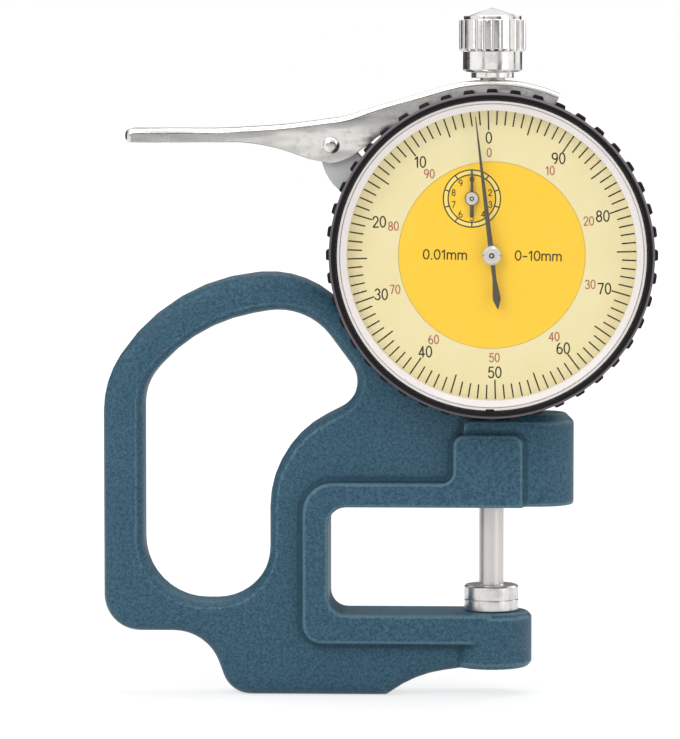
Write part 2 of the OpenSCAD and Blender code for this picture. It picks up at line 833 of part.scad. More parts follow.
module wheel(place, turn) {
    root = wheel_rp - wheel_module * dedendum_share;
    difference() {
        gear(place, wheel_y, wheel_y + wheel_t,
            gear_points(wheel_teeth, wheel_module, wheel_root_share, wheel_tip_share, turn));
        difference() {
            bar(place, root - wheel_rim_w, wheel_y - over, wheel_y + wheel_t + over);
            bar(place, wheel_hub_r + spoke_w / 2, wheel_y - over, wheel_y + wheel_t + over);
            for (i = [0:wheel_spokes / 2 - 1]) {
                along(wheel_y - over, wheel_y + wheel_t + over) translate(place)
                    rotate([0, 0, 360 / wheel_spokes * i]) square([2 * root, spoke_w], center = true);
            }
        }
    }
}

module rack_pinion() {
    turn = 180 / rack_pinion_teeth;
    color(steel) {
        gear(rack_place, -rack_pinion_w / 2, rack_pinion_w / 2,
            gear_points(rack_pinion_teeth, rack_module, pinion_root_share, pinion_tip_share, turn));
        bar(rack_place, rack_arbor_r, wheel_y - wheel_hub_t, -rack_pinion_w / 2);
        bar(rack_place, pivot_r, bridge_y + pivot_end, wheel_y);
        bar(rack_place, pivot_r, 0, rear_bridge_y + rear_bridge_t - pivot_end);
    }
}

module transfer_wheel() {
    color(brass) difference() {
        union() {
            wheel(rack_place, arbor_angle);
            bar(rack_place, wheel_hub_r, wheel_y - wheel_hub_t / 2, wheel_y + wheel_t + wheel_hub_t / 2);
        }
        bar(rack_place, rack_arbor_r + fit, wheel_y - wheel_hub_t, base_y);
    }
}

module centre_pinion() {
    color(steel) {
        gear(centre_place, centre_pinion_front, centre_pinion_back,
            gear_points(centre_teeth, wheel_module, pinion_root_share, pinion_tip_share,
                arbor_angle + 180 / centre_teeth));
        bar(centre_place, arbor_r, hub_y + hub_chamfer / 2, centre_pinion_front);
        bar(centre_place, pivot_r, centre_pinion_front, base_back - pivot_end);
    }
}

module counter_wheel() {
    color(brass) {
        wheel(counter_place, arbor_angle + 180);
        bar(counter_place, wheel_hub_r, wheel_y - wheel_hub_t, wheel_y + wheel_t + wheel_hub_t / 3);
        bar(counter_place, arbor_r, small_hub_y + small_t, wheel_y);
        bar(counter_place, pivot_r, wheel_y, base_back - pivot_end);
    }
}

// Pointers
module main_pointer() {
    color([0.2, 0.2, 0.18]) {
        along(pointer_y, pointer_y + pointer_t) translate(centre_place) rotate([0, 0, pointer_turn])
            difference() {
            polygon([
                [-pointer_tip_w / 2, pointer_tip], [-pointer_hub_w / 2, 0],
                [-pointer_waist / 2, -pointer_wide_at / 2],
                [-pointer_wide / 2, -pointer_wide_at], [0, -pointer_tail],
                [pointer_wide / 2, -pointer_wide_at],
                [pointer_waist / 2, -pointer_wide_at / 2], [pointer_hub_w / 2, 0],
                [pointer_tip_w / 2, pointer_tip]
            ]);
            circle(r = arbor_r + fit);
        }
    }
    color(nickel) turned(centre_place, [
        [arbor_r + fit, hub_back], [hub_r, hub_back], [hub_r, hub_y + hub_chamfer],
        [hub_r - hub_chamfer, hub_y], [arbor_r + fit, hub_y]
    ]);
}

module counter_pointer() {
    color([0.2, 0.2, 0.18]) along(small_y, small_y + small_t) translate(counter_place) difference() {
        polygon([
            [-small_tip_w / 2, small_tip], [-small_hub_w / 2, 0], [-small_tail_w / 2, -small_tail],
            [small_tail_w / 2, -small_tail], [small_hub_w / 2, 0], [small_tip_w / 2, small_tip]
        ]);
        circle(r = arbor_r + fit);
    }
    color(nickel) turned(counter_place, [
        [arbor_r + fit, small_y + small_t + fit], [small_hub_r, small_y + small_t + fit],
        [small_hub_r, small_hub_y + hub_chamfer / 4], [small_hub_r - hub_chamfer / 4, small_hub_y],
        [arbor_r + fit, small_hub_y]
    ]);
}

// Dials
module inner_dial() {
    color([0.96, 0.76, 0.16]) difference() {
        union() {
            bar(centre_place, inner_dial_r, dial_face_y, dial_face_y + dial_t);
            for (s = [0, 180]) {
                bar(ring_place(dial_foot_ring, arbor_angle + s - 90), dial_foot_r,
                    dial_face_y + dial_t / 2, bridge_y + bridge_t);
                bar(ring_place(dial_foot_ring, arbor_angle + s - 90), 2 * dial_foot_r,
                    dial_face_y + dial_t / 2, bridge_y);
            }
        }
        bar(centre_place, dial_hole_r, dial_face_y - over, bridge_y);
        bar(counter_place, dial_hole_r, dial_face_y - over, bridge_y);
    }
}

module scale_ring() {
    color([0.98, 0.93, 0.68]) difference() {
        bar(centre_place, scale_r, dial_face_y, dial_face_y + dial_t);
        bar(centre_place, inner_dial_r + scale_inner_gap, dial_face_y - over,
            dial_face_y + dial_t + over);
        along(dial_face_y - over, dial_face_y + tick_depth) translate(centre_place)
            for (i = [0:tick_count - 1]) rotate([0, 0, scale_turn + 360 / tick_count * i])
                translate([-tick_w / 2, tick_r - (i % 5 == 0 ? tick_long : tick_len)])
                    square([tick_w, i % 5 == 0 ? tick_long : tick_len]);
    }
}

// Bezel and what it holds
function bezel_tooth_points() = [
    for (i = [0:bezel_teeth - 1]) for (k = [0:3]) let (
        half = (k == 0 || k == 3 ? tooth_base_share : tooth_top_share) / 2 * (k < 2 ? -1 : 1),
        r = k == 0 || k == 3 ? bezel_rim_r - bezel_edge / 2 : bezel_d / 2,
        a = (i + half) * 360 / bezel_teeth
    ) [r * cos(a), r * sin(a)]
];

module bezel() {
    color([0.13, 0.12, 0.13]) difference() {
        union() {
            turned(centre_place, [
                [0, bezel_front], [bezel_rim_r - bezel_edge, bezel_front],
                [bezel_rim_r, bezel_front + bezel_edge],
                [bezel_rim_r, bezel_back], [0, bezel_back]
            ]);
            along(bezel_back - bezel_tooth_back, bezel_back) translate(centre_place)
                polygon(bezel_tooth_points());
        }
        difference() {
            turned(centre_place, [
                [0, bezel_front - over], [bezel_pocket_r, bezel_front - over],
                [bezel_pocket_r, bezel_ledge_y],
                [bezel_ledge_r, bezel_ledge_y], [bezel_ledge_r, bezel_ledge_y + bezel_ledge_t],
                [spigot_r + run, bezel_ledge_y + bezel_ledge_t], [spigot_r + run, wire_y - groove_w / 2],
                [spigot_r + wire_r + run, wire_y - groove_w / 2],
                [spigot_r + wire_r + run, wire_y + groove_w / 2],
                [spigot_r + run, wire_y + groove_w / 2], [spigot_r + run, bezel_back + over],
                [0, bezel_back + over]
            ]);
            translate([-tab_w / 2, bezel_front, dial_z - bezel_rim_r + bezel_edge])
                cube([tab_w, tab_t, bezel_rim_r - bezel_edge - bezel_pocket_r + tab_in]);
        }
    }
}

module bezel_wire() {
    color(steel) translate([0, wire_y, dial_z]) rotate([90, 0, 0]) rotate_extrude()
        translate([spigot_r, 0]) circle(r = wire_r, $fn = 24);
}

module crystal_ring() {
    color([0.93, 0.92, 0.9]) turned(centre_place, [
        [ring_bore_r, dial_face_y], [ring_r, dial_face_y], [ring_r, ring_front_y],
        [ring_lip_r, ring_front_y], [ring_lip_r, ring_lip_y], [ring_bore_r, ring_bevel_y]
    ]);
}

module crystal() {
    color([0.85, 0.93, 0.95, 0.3])
        bar(centre_place, ring_bore_r - fit, crystal_back - crystal_t, crystal_back);
}

// Guide rail, pull-down spring and what holds them
module guide_rail() {
    slot = guide_pin_d + 2 * run;
    color(brass) difference() {
        along(rail_y, case_back - cover_t) polygon(rounded([
            [-rail_w / 2, dial_z - rail_half_h, rail_head_h],
            [rail_w / 2, dial_z - rail_half_h, rail_head_h],
            [rail_w / 2, dial_z + rail_half_h, rail_head_h], [-rail_w / 2, dial_z + rail_half_h, rail_head_h]
        ]));
        along(rail_y - over, case_back) translate([-slot / 2, guide_z - guide_pin_d])
            square([slot, travel + 2 * guide_pin_d]);
        for (s = [-1, 1]) {
            bar([0, dial_z + s * rail_screw_z], rail_screw_d / 2 + fit, 0, case_back);
            bar([0, dial_z + s * rail_screw_z], rail_head_d / 2 + fit, 0, rail_y + rail_head_h);
        }
    }
}

module guide_screws() {
    color(nickel) for (s = [-1, 1]) {
        screw([0, dial_z + s * rail_screw_z], rail_y + rail_head_h, 1,
            rail_screw_d / 2, case_back - cover_t / 3 - rail_y - rail_head_h, rail_head_d / 2, rail_head_h,
            rail_screw_d / 4);
    }
}

module spring_post() {
    color(steel) bar([spring_x, spring_low_z], spring_post_d / 2, base_y, spring_post_end);
}

module tension_spring() {
    rise = spring_top_z - spring_low_z;
    steps = spring_turns * spring_steps;
    points = [
        for (i = [0:steps]) for (j = [0:spring_sides - 1]) let (
            a = i * 360 / spring_steps,
            b = j * 360 / spring_sides,
            r = spring_r + spring_wire_r * cos(b)
        ) [r * cos(a), r * sin(a), rise * i / steps + spring_wire_r * sin(b)]
    ];
    faces = [
        [for (j = [0:spring_sides - 1]) spring_sides - 1 - j],
        [for (j = [0:spring_sides - 1]) steps * spring_sides + j],
        for (i = [0:steps - 1]) for (j = [0:spring_sides - 1]) let (k = (j + 1) % spring_sides)
            [i * spring_sides + j, i * spring_sides + k, (i + 1) * spring_sides + k,
            (i + 1) * spring_sides + j]
    ];
    color(steel) translate([spring_x, 0, spring_low_z]) {
        polyhedron(points, faces);
        rotate([90, 0, 0]) rotate_extrude($fn = 24) translate([eye_r, 0])
            circle(r = spring_wire_r, $fn = 16);
        translate([0, 0, rise]) rotate([0, 90, 0])
            rotate_extrude($fn = 24) translate([eye_r, 0]) circle(r = spring_wire_r, $fn = 16);
    }
}

// Spindle and the pieces that move with it
module spindle() {
    low = rack_place[1] - travel - rack_spare;
    count = ceil((travel + 2 * rack_spare) / rack_pitch);
    gap = rack_pitch * (1 - rack_tooth_share) / 2;
    slope = rack_pitch * rack_slope_share;
    root = pitch_line - rack_module * dedendum_share;
    color(steel) difference() {
        union() {
            translate([0, 0, contact_h]) cylinder(d = spindle_d, h = neck_z - contact_h);
            translate([0, 0, neck_z]) cylinder(d = stud_d, h = stud_len);
        }
        translate([0, 0, contact_h - over])
            cylinder(d = contact_stud_d + 2 * fit, h = contact_stud_len + 2 * over);
        for (i = [0:count]) {
            translate([0, spindle_d, rack_place[1] + rack_spare - (i + 1 / 2) * rack_pitch
                + (rack_pitch - rack_spare % rack_pitch)])
                rotate([90, 0, 0]) linear_extrude(2 * spindle_d) polygon([
                    [root, slope - gap], [spindle_d / 2 + over, -slope - gap - over / 4],
                    [spindle_d / 2 + over, gap + slope + over / 4], [root, gap - slope]
                ]);
        }
        bar([0, guide_z], guide_pin_d / 2 + fit, 0, spindle_d);
        translate([0, 0, spring_top_z]) rotate([0, -90, 0])
            cylinder(d = spring_pin_d + 2 * fit, h = spindle_d);
    }
}

module contact_point() {
    color(steel) upright([
        [0, 0], [contact_d / 2 - anvil_chamfer, 0], [contact_d / 2, anvil_chamfer],
        [contact_d / 2, contact_h - contact_chamfer], [contact_d / 2 - contact_chamfer, contact_h],
        [contact_stud_d / 2, contact_h], [contact_stud_d / 2, contact_h + contact_stud_len],
        [0, contact_h + contact_stud_len]
    ]);
}

module lift_cap() {
    color(nickel) difference() {
        upright([
            [0, neck_z], [neck_d / 2, neck_z], [neck_d / 2, collar_z],
            [collar_d / 2 - cap_edge, collar_z], [collar_d / 2, collar_z + cap_edge],
            [collar_d / 2, flute_z],
            [cap_d / 2 - cap_edge, flute_z], [cap_d / 2, flute_z + cap_edge], [cap_d / 2, cone_z],
            [cone_tip_d / 2, cone_z + cone_h], [0, cone_z + cone_h]
        ]);
        translate([0, 0, neck_z - over]) cylinder(d = stud_d + 2 * fit, h = stud_len + over);
        for (i = [0:cap_flutes - 1]) rotate([0, 0, 360 / cap_flutes * i])
            translate([cap_d / 2 + flute_r / 3, 0, flute_z + cap_edge])
                cylinder(r = flute_r, h = flute_h + cone_h, $fn = 24);
    }
}

module guide_pin() {
    color(steel) bar([0, guide_z], guide_pin_d / 2, 0, guide_pin_end);
}

module spring_pin() {
    color(steel) translate([0, 0, spring_top_z]) rotate([0, -90, 0])
        cylinder(d = spring_pin_d, h = spring_pin_end);
}

// Thumb lever: a bent channel with two cheeks, forked over the spindle
function from_pivot(s) = [for (p = s) pivot_place + [-p[0] * lever_len, p[1] * lever_len]];
function to_arch(s) = [for (p = s) pivot_place + [p[0] * pivot_reach, p[1] * pivot_reach]];
function lever_outline() = concat(
    arc([pivot_place[0] - lever_len + tip_r, pivot_place[1] + tip_top - tip_r], tip_r, 90, 180),
    arc([pivot_place[0] - lever_len + tip_r, pivot_place[1] + tip_bottom + tip_r], tip_r, 180, 270),
    from_pivot(lever_low_shares),
    arc(pivot_place, lobe_r, lobe_angles[0], lobe_angles[1]),
    to_arch(lever_low_front_shares),
    arc(centre_place, lever_inner_r, lever_inner_start, lever_arch_end),
    arc(centre_place, lever_arch_r, lever_arch_end, lever_arch_start),
    to_arch(lever_top_front_shares),
    from_pivot(lever_top_shares)
);

module lift_lever() {
    color(nickel) difference() {
        union() {
            for (s = [-1, 1]) along(min(s * lever_w / 2, s * (lever_w / 2 - lever_sheet)),
                max(s * lever_w / 2, s * (lever_w / 2 - lever_sheet))) polygon(lever_outline());
            along(-lever_w / 2, lever_w / 2) difference() {
                polygon(lever_outline());
                translate([0, -lever_sheet]) polygon(lever_outline());
                translate([pivot_place[0] - lever_len, 0])
                    square([lever_len + pivot_reach * 2, pivot_place[1]]);
            }
        }
        translate([-fork_back, -fork_half, pivot_place[1]]) cube([2 * pivot_reach, 2 * fork_half, case_r]);
        translate([-fork_back, 0, pivot_place[1]]) cylinder(r = fork_half, h = case_r);
        bar(pivot_place, pivot_d / 2 + run, -lever_w, lever_w);
    }
}

module lever_screw() {
    color(nickel) {
        bar(pivot_place, pivot_d / 2, -lever_w / 2 - run, lever_w / 2 + run);
        turned(pivot_place, [
            [0, -lever_w / 2 - run - pivot_head_h], [pivot_head_d / 4, -lever_w / 2 - run - pivot_head_h],
            [pivot_head_d / 2, -lever_w / 2 - run - pivot_head_h / 2],
            [pivot_head_d / 2, -lever_w / 2 - run],
            [0, -lever_w / 2 - run]
        ]);
        turned(pivot_place, [
            [0, lever_w / 2 + run], [pivot_head_d / 2, lever_w / 2 + run],
            [pivot_head_d / 2, lever_w / 2 + run + pivot_head_h], [0, lever_w / 2 + run + pivot_head_h]
        ]);
    }
}

frame();
anvil();
stem();
stem_screw();
lower_bush();
case();
upper_bush();
back_cover();
cover_screws();
base_plate();
plate_screws();
pillars();
front_plate();
bridge_screws();
rear_bridge();
hairspring();
hairspring_stud();
inner_dial();
guide_rail();
guide_screws();
spring_post();
tension_spring();
lever_screw();
spindle();
contact_point();
lift_cap();
guide_pin();
spring_pin();
lift_lever();
bezel();
bezel_wire();
crystal_ring();
crystal();
scale_ring();
rack_pinion();
transfer_wheel();
centre_pinion();
main_pointer();
counter_wheel();
counter_pointer();
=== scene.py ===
import math

import bpy
import numpy as np
from bpy.props import FloatProperty, FloatVectorProperty, IntProperty, PointerProperty
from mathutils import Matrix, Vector


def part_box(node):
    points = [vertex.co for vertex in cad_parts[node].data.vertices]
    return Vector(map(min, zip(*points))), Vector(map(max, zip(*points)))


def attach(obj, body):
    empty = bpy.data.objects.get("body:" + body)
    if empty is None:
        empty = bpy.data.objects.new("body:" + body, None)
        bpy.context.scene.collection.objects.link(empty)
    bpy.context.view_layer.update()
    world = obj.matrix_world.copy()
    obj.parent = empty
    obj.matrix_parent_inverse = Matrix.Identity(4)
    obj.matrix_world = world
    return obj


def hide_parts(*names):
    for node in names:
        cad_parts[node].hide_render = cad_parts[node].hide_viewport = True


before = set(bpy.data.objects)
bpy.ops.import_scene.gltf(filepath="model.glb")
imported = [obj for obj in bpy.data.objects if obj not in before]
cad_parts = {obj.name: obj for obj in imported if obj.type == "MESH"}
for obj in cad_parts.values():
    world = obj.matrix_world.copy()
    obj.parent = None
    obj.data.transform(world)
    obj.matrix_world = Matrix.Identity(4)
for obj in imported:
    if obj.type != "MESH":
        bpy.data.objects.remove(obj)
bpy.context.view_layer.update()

bl_info = {
    "name": "Dial thickness gauge",
    "version": (1, 0, 0),
    "blender": (4, 5, 0),
    "location": "3D View > Sidebar > Gauge",
    "description": "Dresses the packed thickness gauge in its finishes and sets it in a plain studio",
    "category": "Object",
}

MM = 0.001


# Places, in millimetres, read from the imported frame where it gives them
def middle(node):
    low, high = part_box(node)
    return (low + high) / 2 / MM


DIAL_X, DIAL_Z = 0.0, middle("inner_dial")[2]
COUNTER_X, COUNTER_Z = -3.6426, DIAL_Z + 10.3178
PIVOT_X, PIVOT_Z = middle("lever_screw")[0], middle("lever_screw")[2]
FACE_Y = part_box("inner_dial")[0][1] / MM
FLOOR_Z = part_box("frame")[0][2]


class GaugeSizes(bpy.types.PropertyGroup):
    """Sizes of what the scene models, in metres"""

    casting_grain: FloatProperty(
        name="Casting grain", description="Voxel size that the casting is worked in",
        default=0.00034, unit="LENGTH", precision=5,
    )
    casting_soft: IntProperty(
        name="Casting softness", description="Smoothing passes over the casting's edges",
        default=3, min=0, max=30,
    )
    bezel_edge: FloatProperty(
        name="Bezel edge", description="Rounding of the bezel's front edges",
        default=0.00045, unit="LENGTH", precision=5,
    )
    bezel_teeth: IntProperty(
        name="Bezel teeth", description="Grip teeth round the bezel", default=44, min=8, max=90,
    )
    cap_flutes: IntProperty(
        name="Cap flutes", description="Flutes round the lifting cap", default=24, min=8, max=48,
    )
    tick_width: FloatProperty(
        name="Tick width", description="Width of the scale's printed ticks",
        default=0.00025, unit="LENGTH", precision=5,
    )
    numeral_height: FloatProperty(
        name="Numeral height", description="Height of the dark numerals",
        default=0.0020, unit="LENGTH", precision=5,
    )
    inner_numeral_height: FloatProperty(
        name="Inner numeral height", description="Height of the red numerals",
        default=0.0016, unit="LENGTH", precision=5,
    )
    counter_numeral_height: FloatProperty(
        name="Counter numeral height", description="Height of the small dial's numerals",
        default=0.00115, unit="LENGTH", precision=5,
    )


class GaugeColours(bpy.types.PropertyGroup):
    """Colours of the finishes"""

    enamel: FloatVectorProperty(
        name="Enamel", description="Hammered enamel of the frame", subtype="COLOR",
        size=3, min=0, max=1, default=(0.019, 0.092, 0.149),
    )
    cream: FloatVectorProperty(
        name="Scale", description="Print ground of the outer scale", subtype="COLOR",
        size=3, min=0, max=1, default=(0.800, 0.695, 0.352),
    )
    yellow: FloatVectorProperty(
        name="Inner dial", description="Print ground of the inner dial", subtype="COLOR",
        size=3, min=0, max=1, default=(0.930, 0.560, 0.008),
    )
    ink: FloatVectorProperty(
        name="Dark ink", description="Dark print", subtype="COLOR",
        size=3, min=0, max=1, default=(0.014, 0.009, 0.002),
    )
    red_ink: FloatVectorProperty(
        name="Red ink", description="Red print", subtype="COLOR",
        size=3, min=0, max=1, default=(0.400, 0.100, 0.070),
    )
    bezel: FloatVectorProperty(
        name="Bezel", description="Dark moulding of the bezel", subtype="COLOR",
        size=3, min=0, max=1, default=(0.008, 0.006, 0.007),
    )
    ring: FloatVectorProperty(
        name="Crystal ring", description="Off-white ring round the crystal", subtype="COLOR",
        size=3, min=0, max=1, default=(0.815, 0.775, 0.760),
    )
    nickel: FloatVectorProperty(
        name="Nickel", description="Bright plated lever and cap", subtype="COLOR",
        size=3, min=0, max=1, default=(0.740, 0.725, 0.690),
    )
    steel: FloatVectorProperty(
        name="Ground steel", description="Ground spindle, anvil and contact", subtype="COLOR",
        size=3, min=0, max=1, default=(0.690, 0.665, 0.655),
    )
    brass: FloatVectorProperty(
        name="Brass", description="Wheels, bushes and plates", subtype="COLOR",
        size=3, min=0, max=1, default=(0.780, 0.560, 0.240),
    )
    pointer: FloatVectorProperty(
        name="Pointer", description="Dark lacquer of the main pointer", subtype="COLOR",
        size=3, min=0, max=1, default=(0.050, 0.038, 0.020),
    )


class GaugeStudio(bpy.types.PropertyGroup):
    """Light and camera of the studio"""

    lamp_power: FloatProperty(
        name="Lamp power", description="Power of the large soft lamps", default=4.1, unit="POWER",
    )
    room_light: FloatProperty(
        name="Room light", description="Strength of the light from all round", default=0.54, min=0,
    )
    lens: FloatProperty(
        name="Lens", description="Focal length on a 36 mm high film", default=214.3, unit="CAMERA",
    )


# Shader maths
class Wire:
    """A socket that stands in a formula: sums and products add Math nodes"""

    def __init__(self, tree, socket=None):
        self.tree = tree
        self.socket = socket

    def node(self, kind, settings=None, values=None, out=0):
        """Adds a node, its settings first and then what its sockets hold, and gives one output"""
        made = self.tree.nodes.new(kind)
        for key, value in (settings or {}).items():
            if key == "stops":
                ramp = made.color_ramp
                while len(ramp.elements) < len(value):
                    ramp.elements.new(1)
                for stop, (at, shade) in zip(ramp.elements, value):
                    stop.position = at
                    stop.color = (*shade, 1) if isinstance(shade, tuple) else (shade, shade, shade, 1)
            else:
                setattr(made, key, value)
        for key, value in (values or {}).items():
            if isinstance(value, Wire):
                self.tree.links.new(value.socket, made.inputs[key])
            else:
                made.inputs[key].default_value = value
        return Wire(self.tree, made.outputs[out] if made.outputs else None)

    def math(self, operation, *values):
        return self.node("ShaderNodeMath", {"operation": operation}, dict(enumerate(values)))

    def __add__(self, other):
        return self.math("ADD", self, other)

    def __radd__(self, other):
        return self.math("ADD", other, self)

    def __sub__(self, other):
        return self.math("SUBTRACT", self, other)

    def __rsub__(self, other):
        return self.math("SUBTRACT", other, self)

    def __mul__(self, other):
        return self.math("MULTIPLY", self, other)

    def __rmul__(self, other):
        return self.math("MULTIPLY", other, self)

    def step(self, low, high):
        """0 below low, 1 above high, smooth between"""
        return self.node(
            "ShaderNodeMapRange", {"interpolation_type": "SMOOTHSTEP"},
            {"Value": self, "From Min": low, "From Max": high},
        )

    def blend(self, a, b):
        """Colour a where this is 0, colour b where it is 1"""
        full = [v if isinstance(v, Wire) else (*v, 1) for v in (a, b)]
        return self.node("ShaderNodeMix", {"data_type": "RGBA"}, {0: self, 6: full[0], 7: full[1]}, 2)

    def stretched(self, scale):
        """This place, scaled along each axis"""
        return self.node("ShaderNodeVectorMath", {"operation": "MULTIPLY"}, {0: self, 1: scale})

    def radius(self, centre):
        """Distance of this place from an axis along Y through centre, which is in millimetres"""
        shift = self.node(
            "ShaderNodeVectorMath", {"operation": "SUBTRACT"},
            {0: self, 1: (centre[0] * MM, 0, centre[1] * MM)},
        ).stretched((1, 0, 1))
        return shift.node("ShaderNodeVectorMath", {"operation": "LENGTH"}, {0: shift}, "Value")

    def noise(self, size, detail=3.0, rough=0.5, distortion=0.0):
        """Soft noise whose lumps are about size metres across"""
        return self.node(
            "ShaderNodeTexNoise", None,
            {"Vector": self, "Scale": 1 / size, "Detail": detail, "Roughness": rough, "Distortion": distortion},
        )

    def cells(self, size, feature="F1", out="Distance"):
        """Cell pattern whose cells are about size metres across"""
        return self.node(
            "ShaderNodeTexVoronoi", {"feature": feature}, {"Vector": self, "Scale": 1 / size}, out
        )

    def bump(self, depth, strength=1.0, under=None):
        """A Bump node fed by this height, in shares of depth metres"""
        values = {"Height": self, "Distance": depth, "Strength": strength}
        if under:
            values["Normal"] = under
        return self.node("ShaderNodeBump", None, values)


def tinted(colour, share):
    """The colour, lighter by that share above 0 or darker below"""
    if share < 0:
        return tuple(c * (1 + share) for c in colour)
    return tuple(c + (1 - c) * share for c in colour)


def finish(name, recipe, **constants):
    """A material: recipe gives what varies, constants what is the same all over"""
    made = bpy.data.materials.get(name)
    if made:
        return made
    made = bpy.data.materials.new(name)
    made.use_nodes = True
    made.node_tree.nodes.clear()
    wire = Wire(made.node_tree)
    place = wire.node("ShaderNodeTexCoord", out="Object")
    values = {key.replace("_", " "): value for key, value in constants.items()}
    values.update(recipe(wire, place))
    shader = wire.node("ShaderNodeBsdfPrincipled", None, values)
    wire.node("ShaderNodeOutputMaterial", None, {"Surface": shader})
    return made


def colours():
    return bpy.context.scene.gauge_colours


def sizes():
    return bpy.context.scene.gauge_sizes


def colour(name):
    return tuple(getattr(colours(), name))


def enamel():
    """Hammered stoving enamel on a casting, worn on its edges, with painted shade in its hollows"""

    def recipe(wire, place):
        teal = colour("enamel")
        worn = wire.node("ShaderNodeAttribute", {"attribute_name": "worn"}, None, "Fac")
        hollow = wire.node("ShaderNodeAttribute", {"attribute_name": "hollow"}, None, "Fac")
        sand = place.noise(0.00062, 3.0, 0.75)
        fine = place.noise(0.00034, 3.0, 0.7)
        lump = place.noise(0.0021, 2.0, 0.5)
        cloud = place.noise(0.014, 3.0, 0.5)
        pits = place.cells(0.00062).step(0.30, 0.10)
        specks = place.cells(0.00055).step(0.20, 0.06) * place.noise(0.0011, 2.0).step(0.44, 0.60)
        wear = (worn * 1.5 + (fine - 0.5) * 1.1).step(0.95, 1.5)
        # painted shade: the enamel is darkened in hollows and creases of the casting, where shade falls
        hollow_shade = (hollow * 1.3 + (sand - 0.5) * 0.5).step(0.22, 0.85)
        tone = (sand * 0.55 + fine * 0.45).step(0.40, 0.60)
        base = tone.blend(tinted(teal, -0.36), tinted(teal, 0.03))
        base = ((cloud * 0.6 + lump * 0.4).step(0.38, 0.62) * 0.22).blend(base, tinted(teal, -0.26))
        base = (specks * 0.30).blend(base, (0.12, 0.28, 0.34))
        base = (hollow_shade * 0.50).blend(base, tinted(teal, -0.62))
        base = (wear * 0.30).blend(base, (0.17, 0.30, 0.35))
        height = sand * 0.6 + fine * 0.25 + lump * 0.35 + pits * 0.12
        return {
            "Base Color": base,
            "Roughness": 0.40 + fine * 0.18 + hollow_shade * 0.15 - wear * 0.10,
            "Normal": height.bump(0.00016, 0.9),
        }

    return finish("hammered_enamel", recipe, Specular_IOR_Level=0.30)


def plated(name, base, grain_axis="x", rough=0.22, streaks=0.35, stain=0.35, waves=0):
    """Bright metal plate or polished metal with soft streaks along one axis and slow waves that many metres high"""
    scale = {"x": (0.08, 1, 1), "y": (1, 0.06, 1), "z": (1, 1, 0.06), "none": (1, 1, 1)}[grain_axis]

    def recipe(wire, place):
        along = place.stretched(scale)
        streak = along.noise(0.0009, 4.0, 0.65)
        hair = along.noise(0.00012, 2.0, 0.6)
        mottle = place.noise(0.0022, 4.0, 0.6, 0.6)
        cloud = place.noise(0.012, 2.0)
        dull = (mottle * 0.6 + streak * 0.4).step(0.46, 0.66)
        tone = (dull * stain).blend(tinted(base, 0.06), tinted(base, -0.42))
        tone = (cloud.step(0.5, 0.75) * 0.18).blend(tone, (base[0] * 0.86, base[1] * 0.80, base[2] * 0.72))
        pressed = place.stretched((0.4, 1, 1)).noise(0.0075, 1.5).bump(waves) if waves else None
        return {
            "Base Color": tone,
            "Roughness": rough + streak * 0.10 * streaks + dull * 0.14 + hair * 0.05,
            "Normal": (hair * 0.4 + streak * 0.6 * streaks + mottle * 0.3).bump(0.000010, 0.7, pressed),
        }

    return finish(name, recipe, Metallic=1.0)


def ground(name, base, axis="z", rough=0.26, pitch=0.00009):
    """Ground or lathe-turned metal: fine rings across the axis that the piece was turned on"""
    scale = {"z": (0.03, 0.03, 1), "y": (0.03, 1, 0.03)}[axis]

    def recipe(wire, place):
        rings = place.stretched(scale)
        fine = rings.noise(pitch, 2.0, 0.7)
        band = rings.noise(pitch * 9, 2.0, 0.5)
        smudge = place.noise(0.0035, 3.0, 0.55, 0.4)
        tone = (fine.step(0.3, 0.75) * 0.30 + smudge.step(0.5, 0.75) * 0.15).blend(
            tinted(base, 0.05), tinted(base, -0.35)
        )
        return {
            "Base Color": tone,
            "Roughness": rough + fine * 0.10 + band * 0.08 + smudge * 0.05,
            "Normal": (fine * 0.6 + band * 0.4).bump(0.000006, 0.7),
        }

    return finish(name, recipe, Metallic=1.0)


def faced(name, base, centre, rough=0.28, pitch=0.00011):
    """Metal faced on a lathe: fine rings round a centre in the front view"""

    def recipe(wire, place):
        line = place.node("ShaderNodeCombineXYZ", None, {"X": place.radius(centre)})
        fine = line.noise(pitch, 3.0, 0.7)
        broad = line.noise(pitch * 14, 2.0, 0.5)
        smudge = place.noise(0.004, 3.0, 0.6, 0.3)
        tone = (fine.step(0.3, 0.75) * 0.25 + smudge.step(0.5, 0.8) * 0.15).blend(
            tinted(base, 0.04), tinted(base, -0.30)
        )
        return {
            "Base Color": tone,
            "Roughness": rough + fine * 0.10 + broad * 0.08 + smudge * 0.06,
            "Normal": (fine * 0.7 + broad * 0.3).bump(0.000007, 0.7),
        }

    return finish(name, recipe, Metallic=1.0)


def moulded(name, base, rough=0.34, sheen=(0.10, 0.09, 0.12), depth=0.00003):
    """Moulded or lacquered dark plastic with fine grain and spots painted with a paler sheen, which are also
    glossier
    """

    def recipe(wire, place):
        grain = place.noise(0.00022, 3.0, 0.6)
        cloud = place.noise(0.006, 3.0, 0.6)
        # painted sheen: random spots are painted toward the sheen colour and made a little glossier
        painted_sheen = place.stretched((1, 0.3, 1)).noise(0.0016, 4.0, 0.6).step(0.55, 0.75)
        tone = (painted_sheen * 0.35 + grain.step(0.4, 0.8) * 0.12).blend(base, sheen)
        return {
            "Base Color": tone,
            "Roughness": rough + grain * 0.12 + cloud * 0.08 - painted_sheen * 0.05,
            "Normal": (grain * 0.7 + cloud * 0.3).bump(depth, 0.5),
        }

    return finish(name, recipe, Coat_Weight=0.12, Coat_Roughness=0.3)


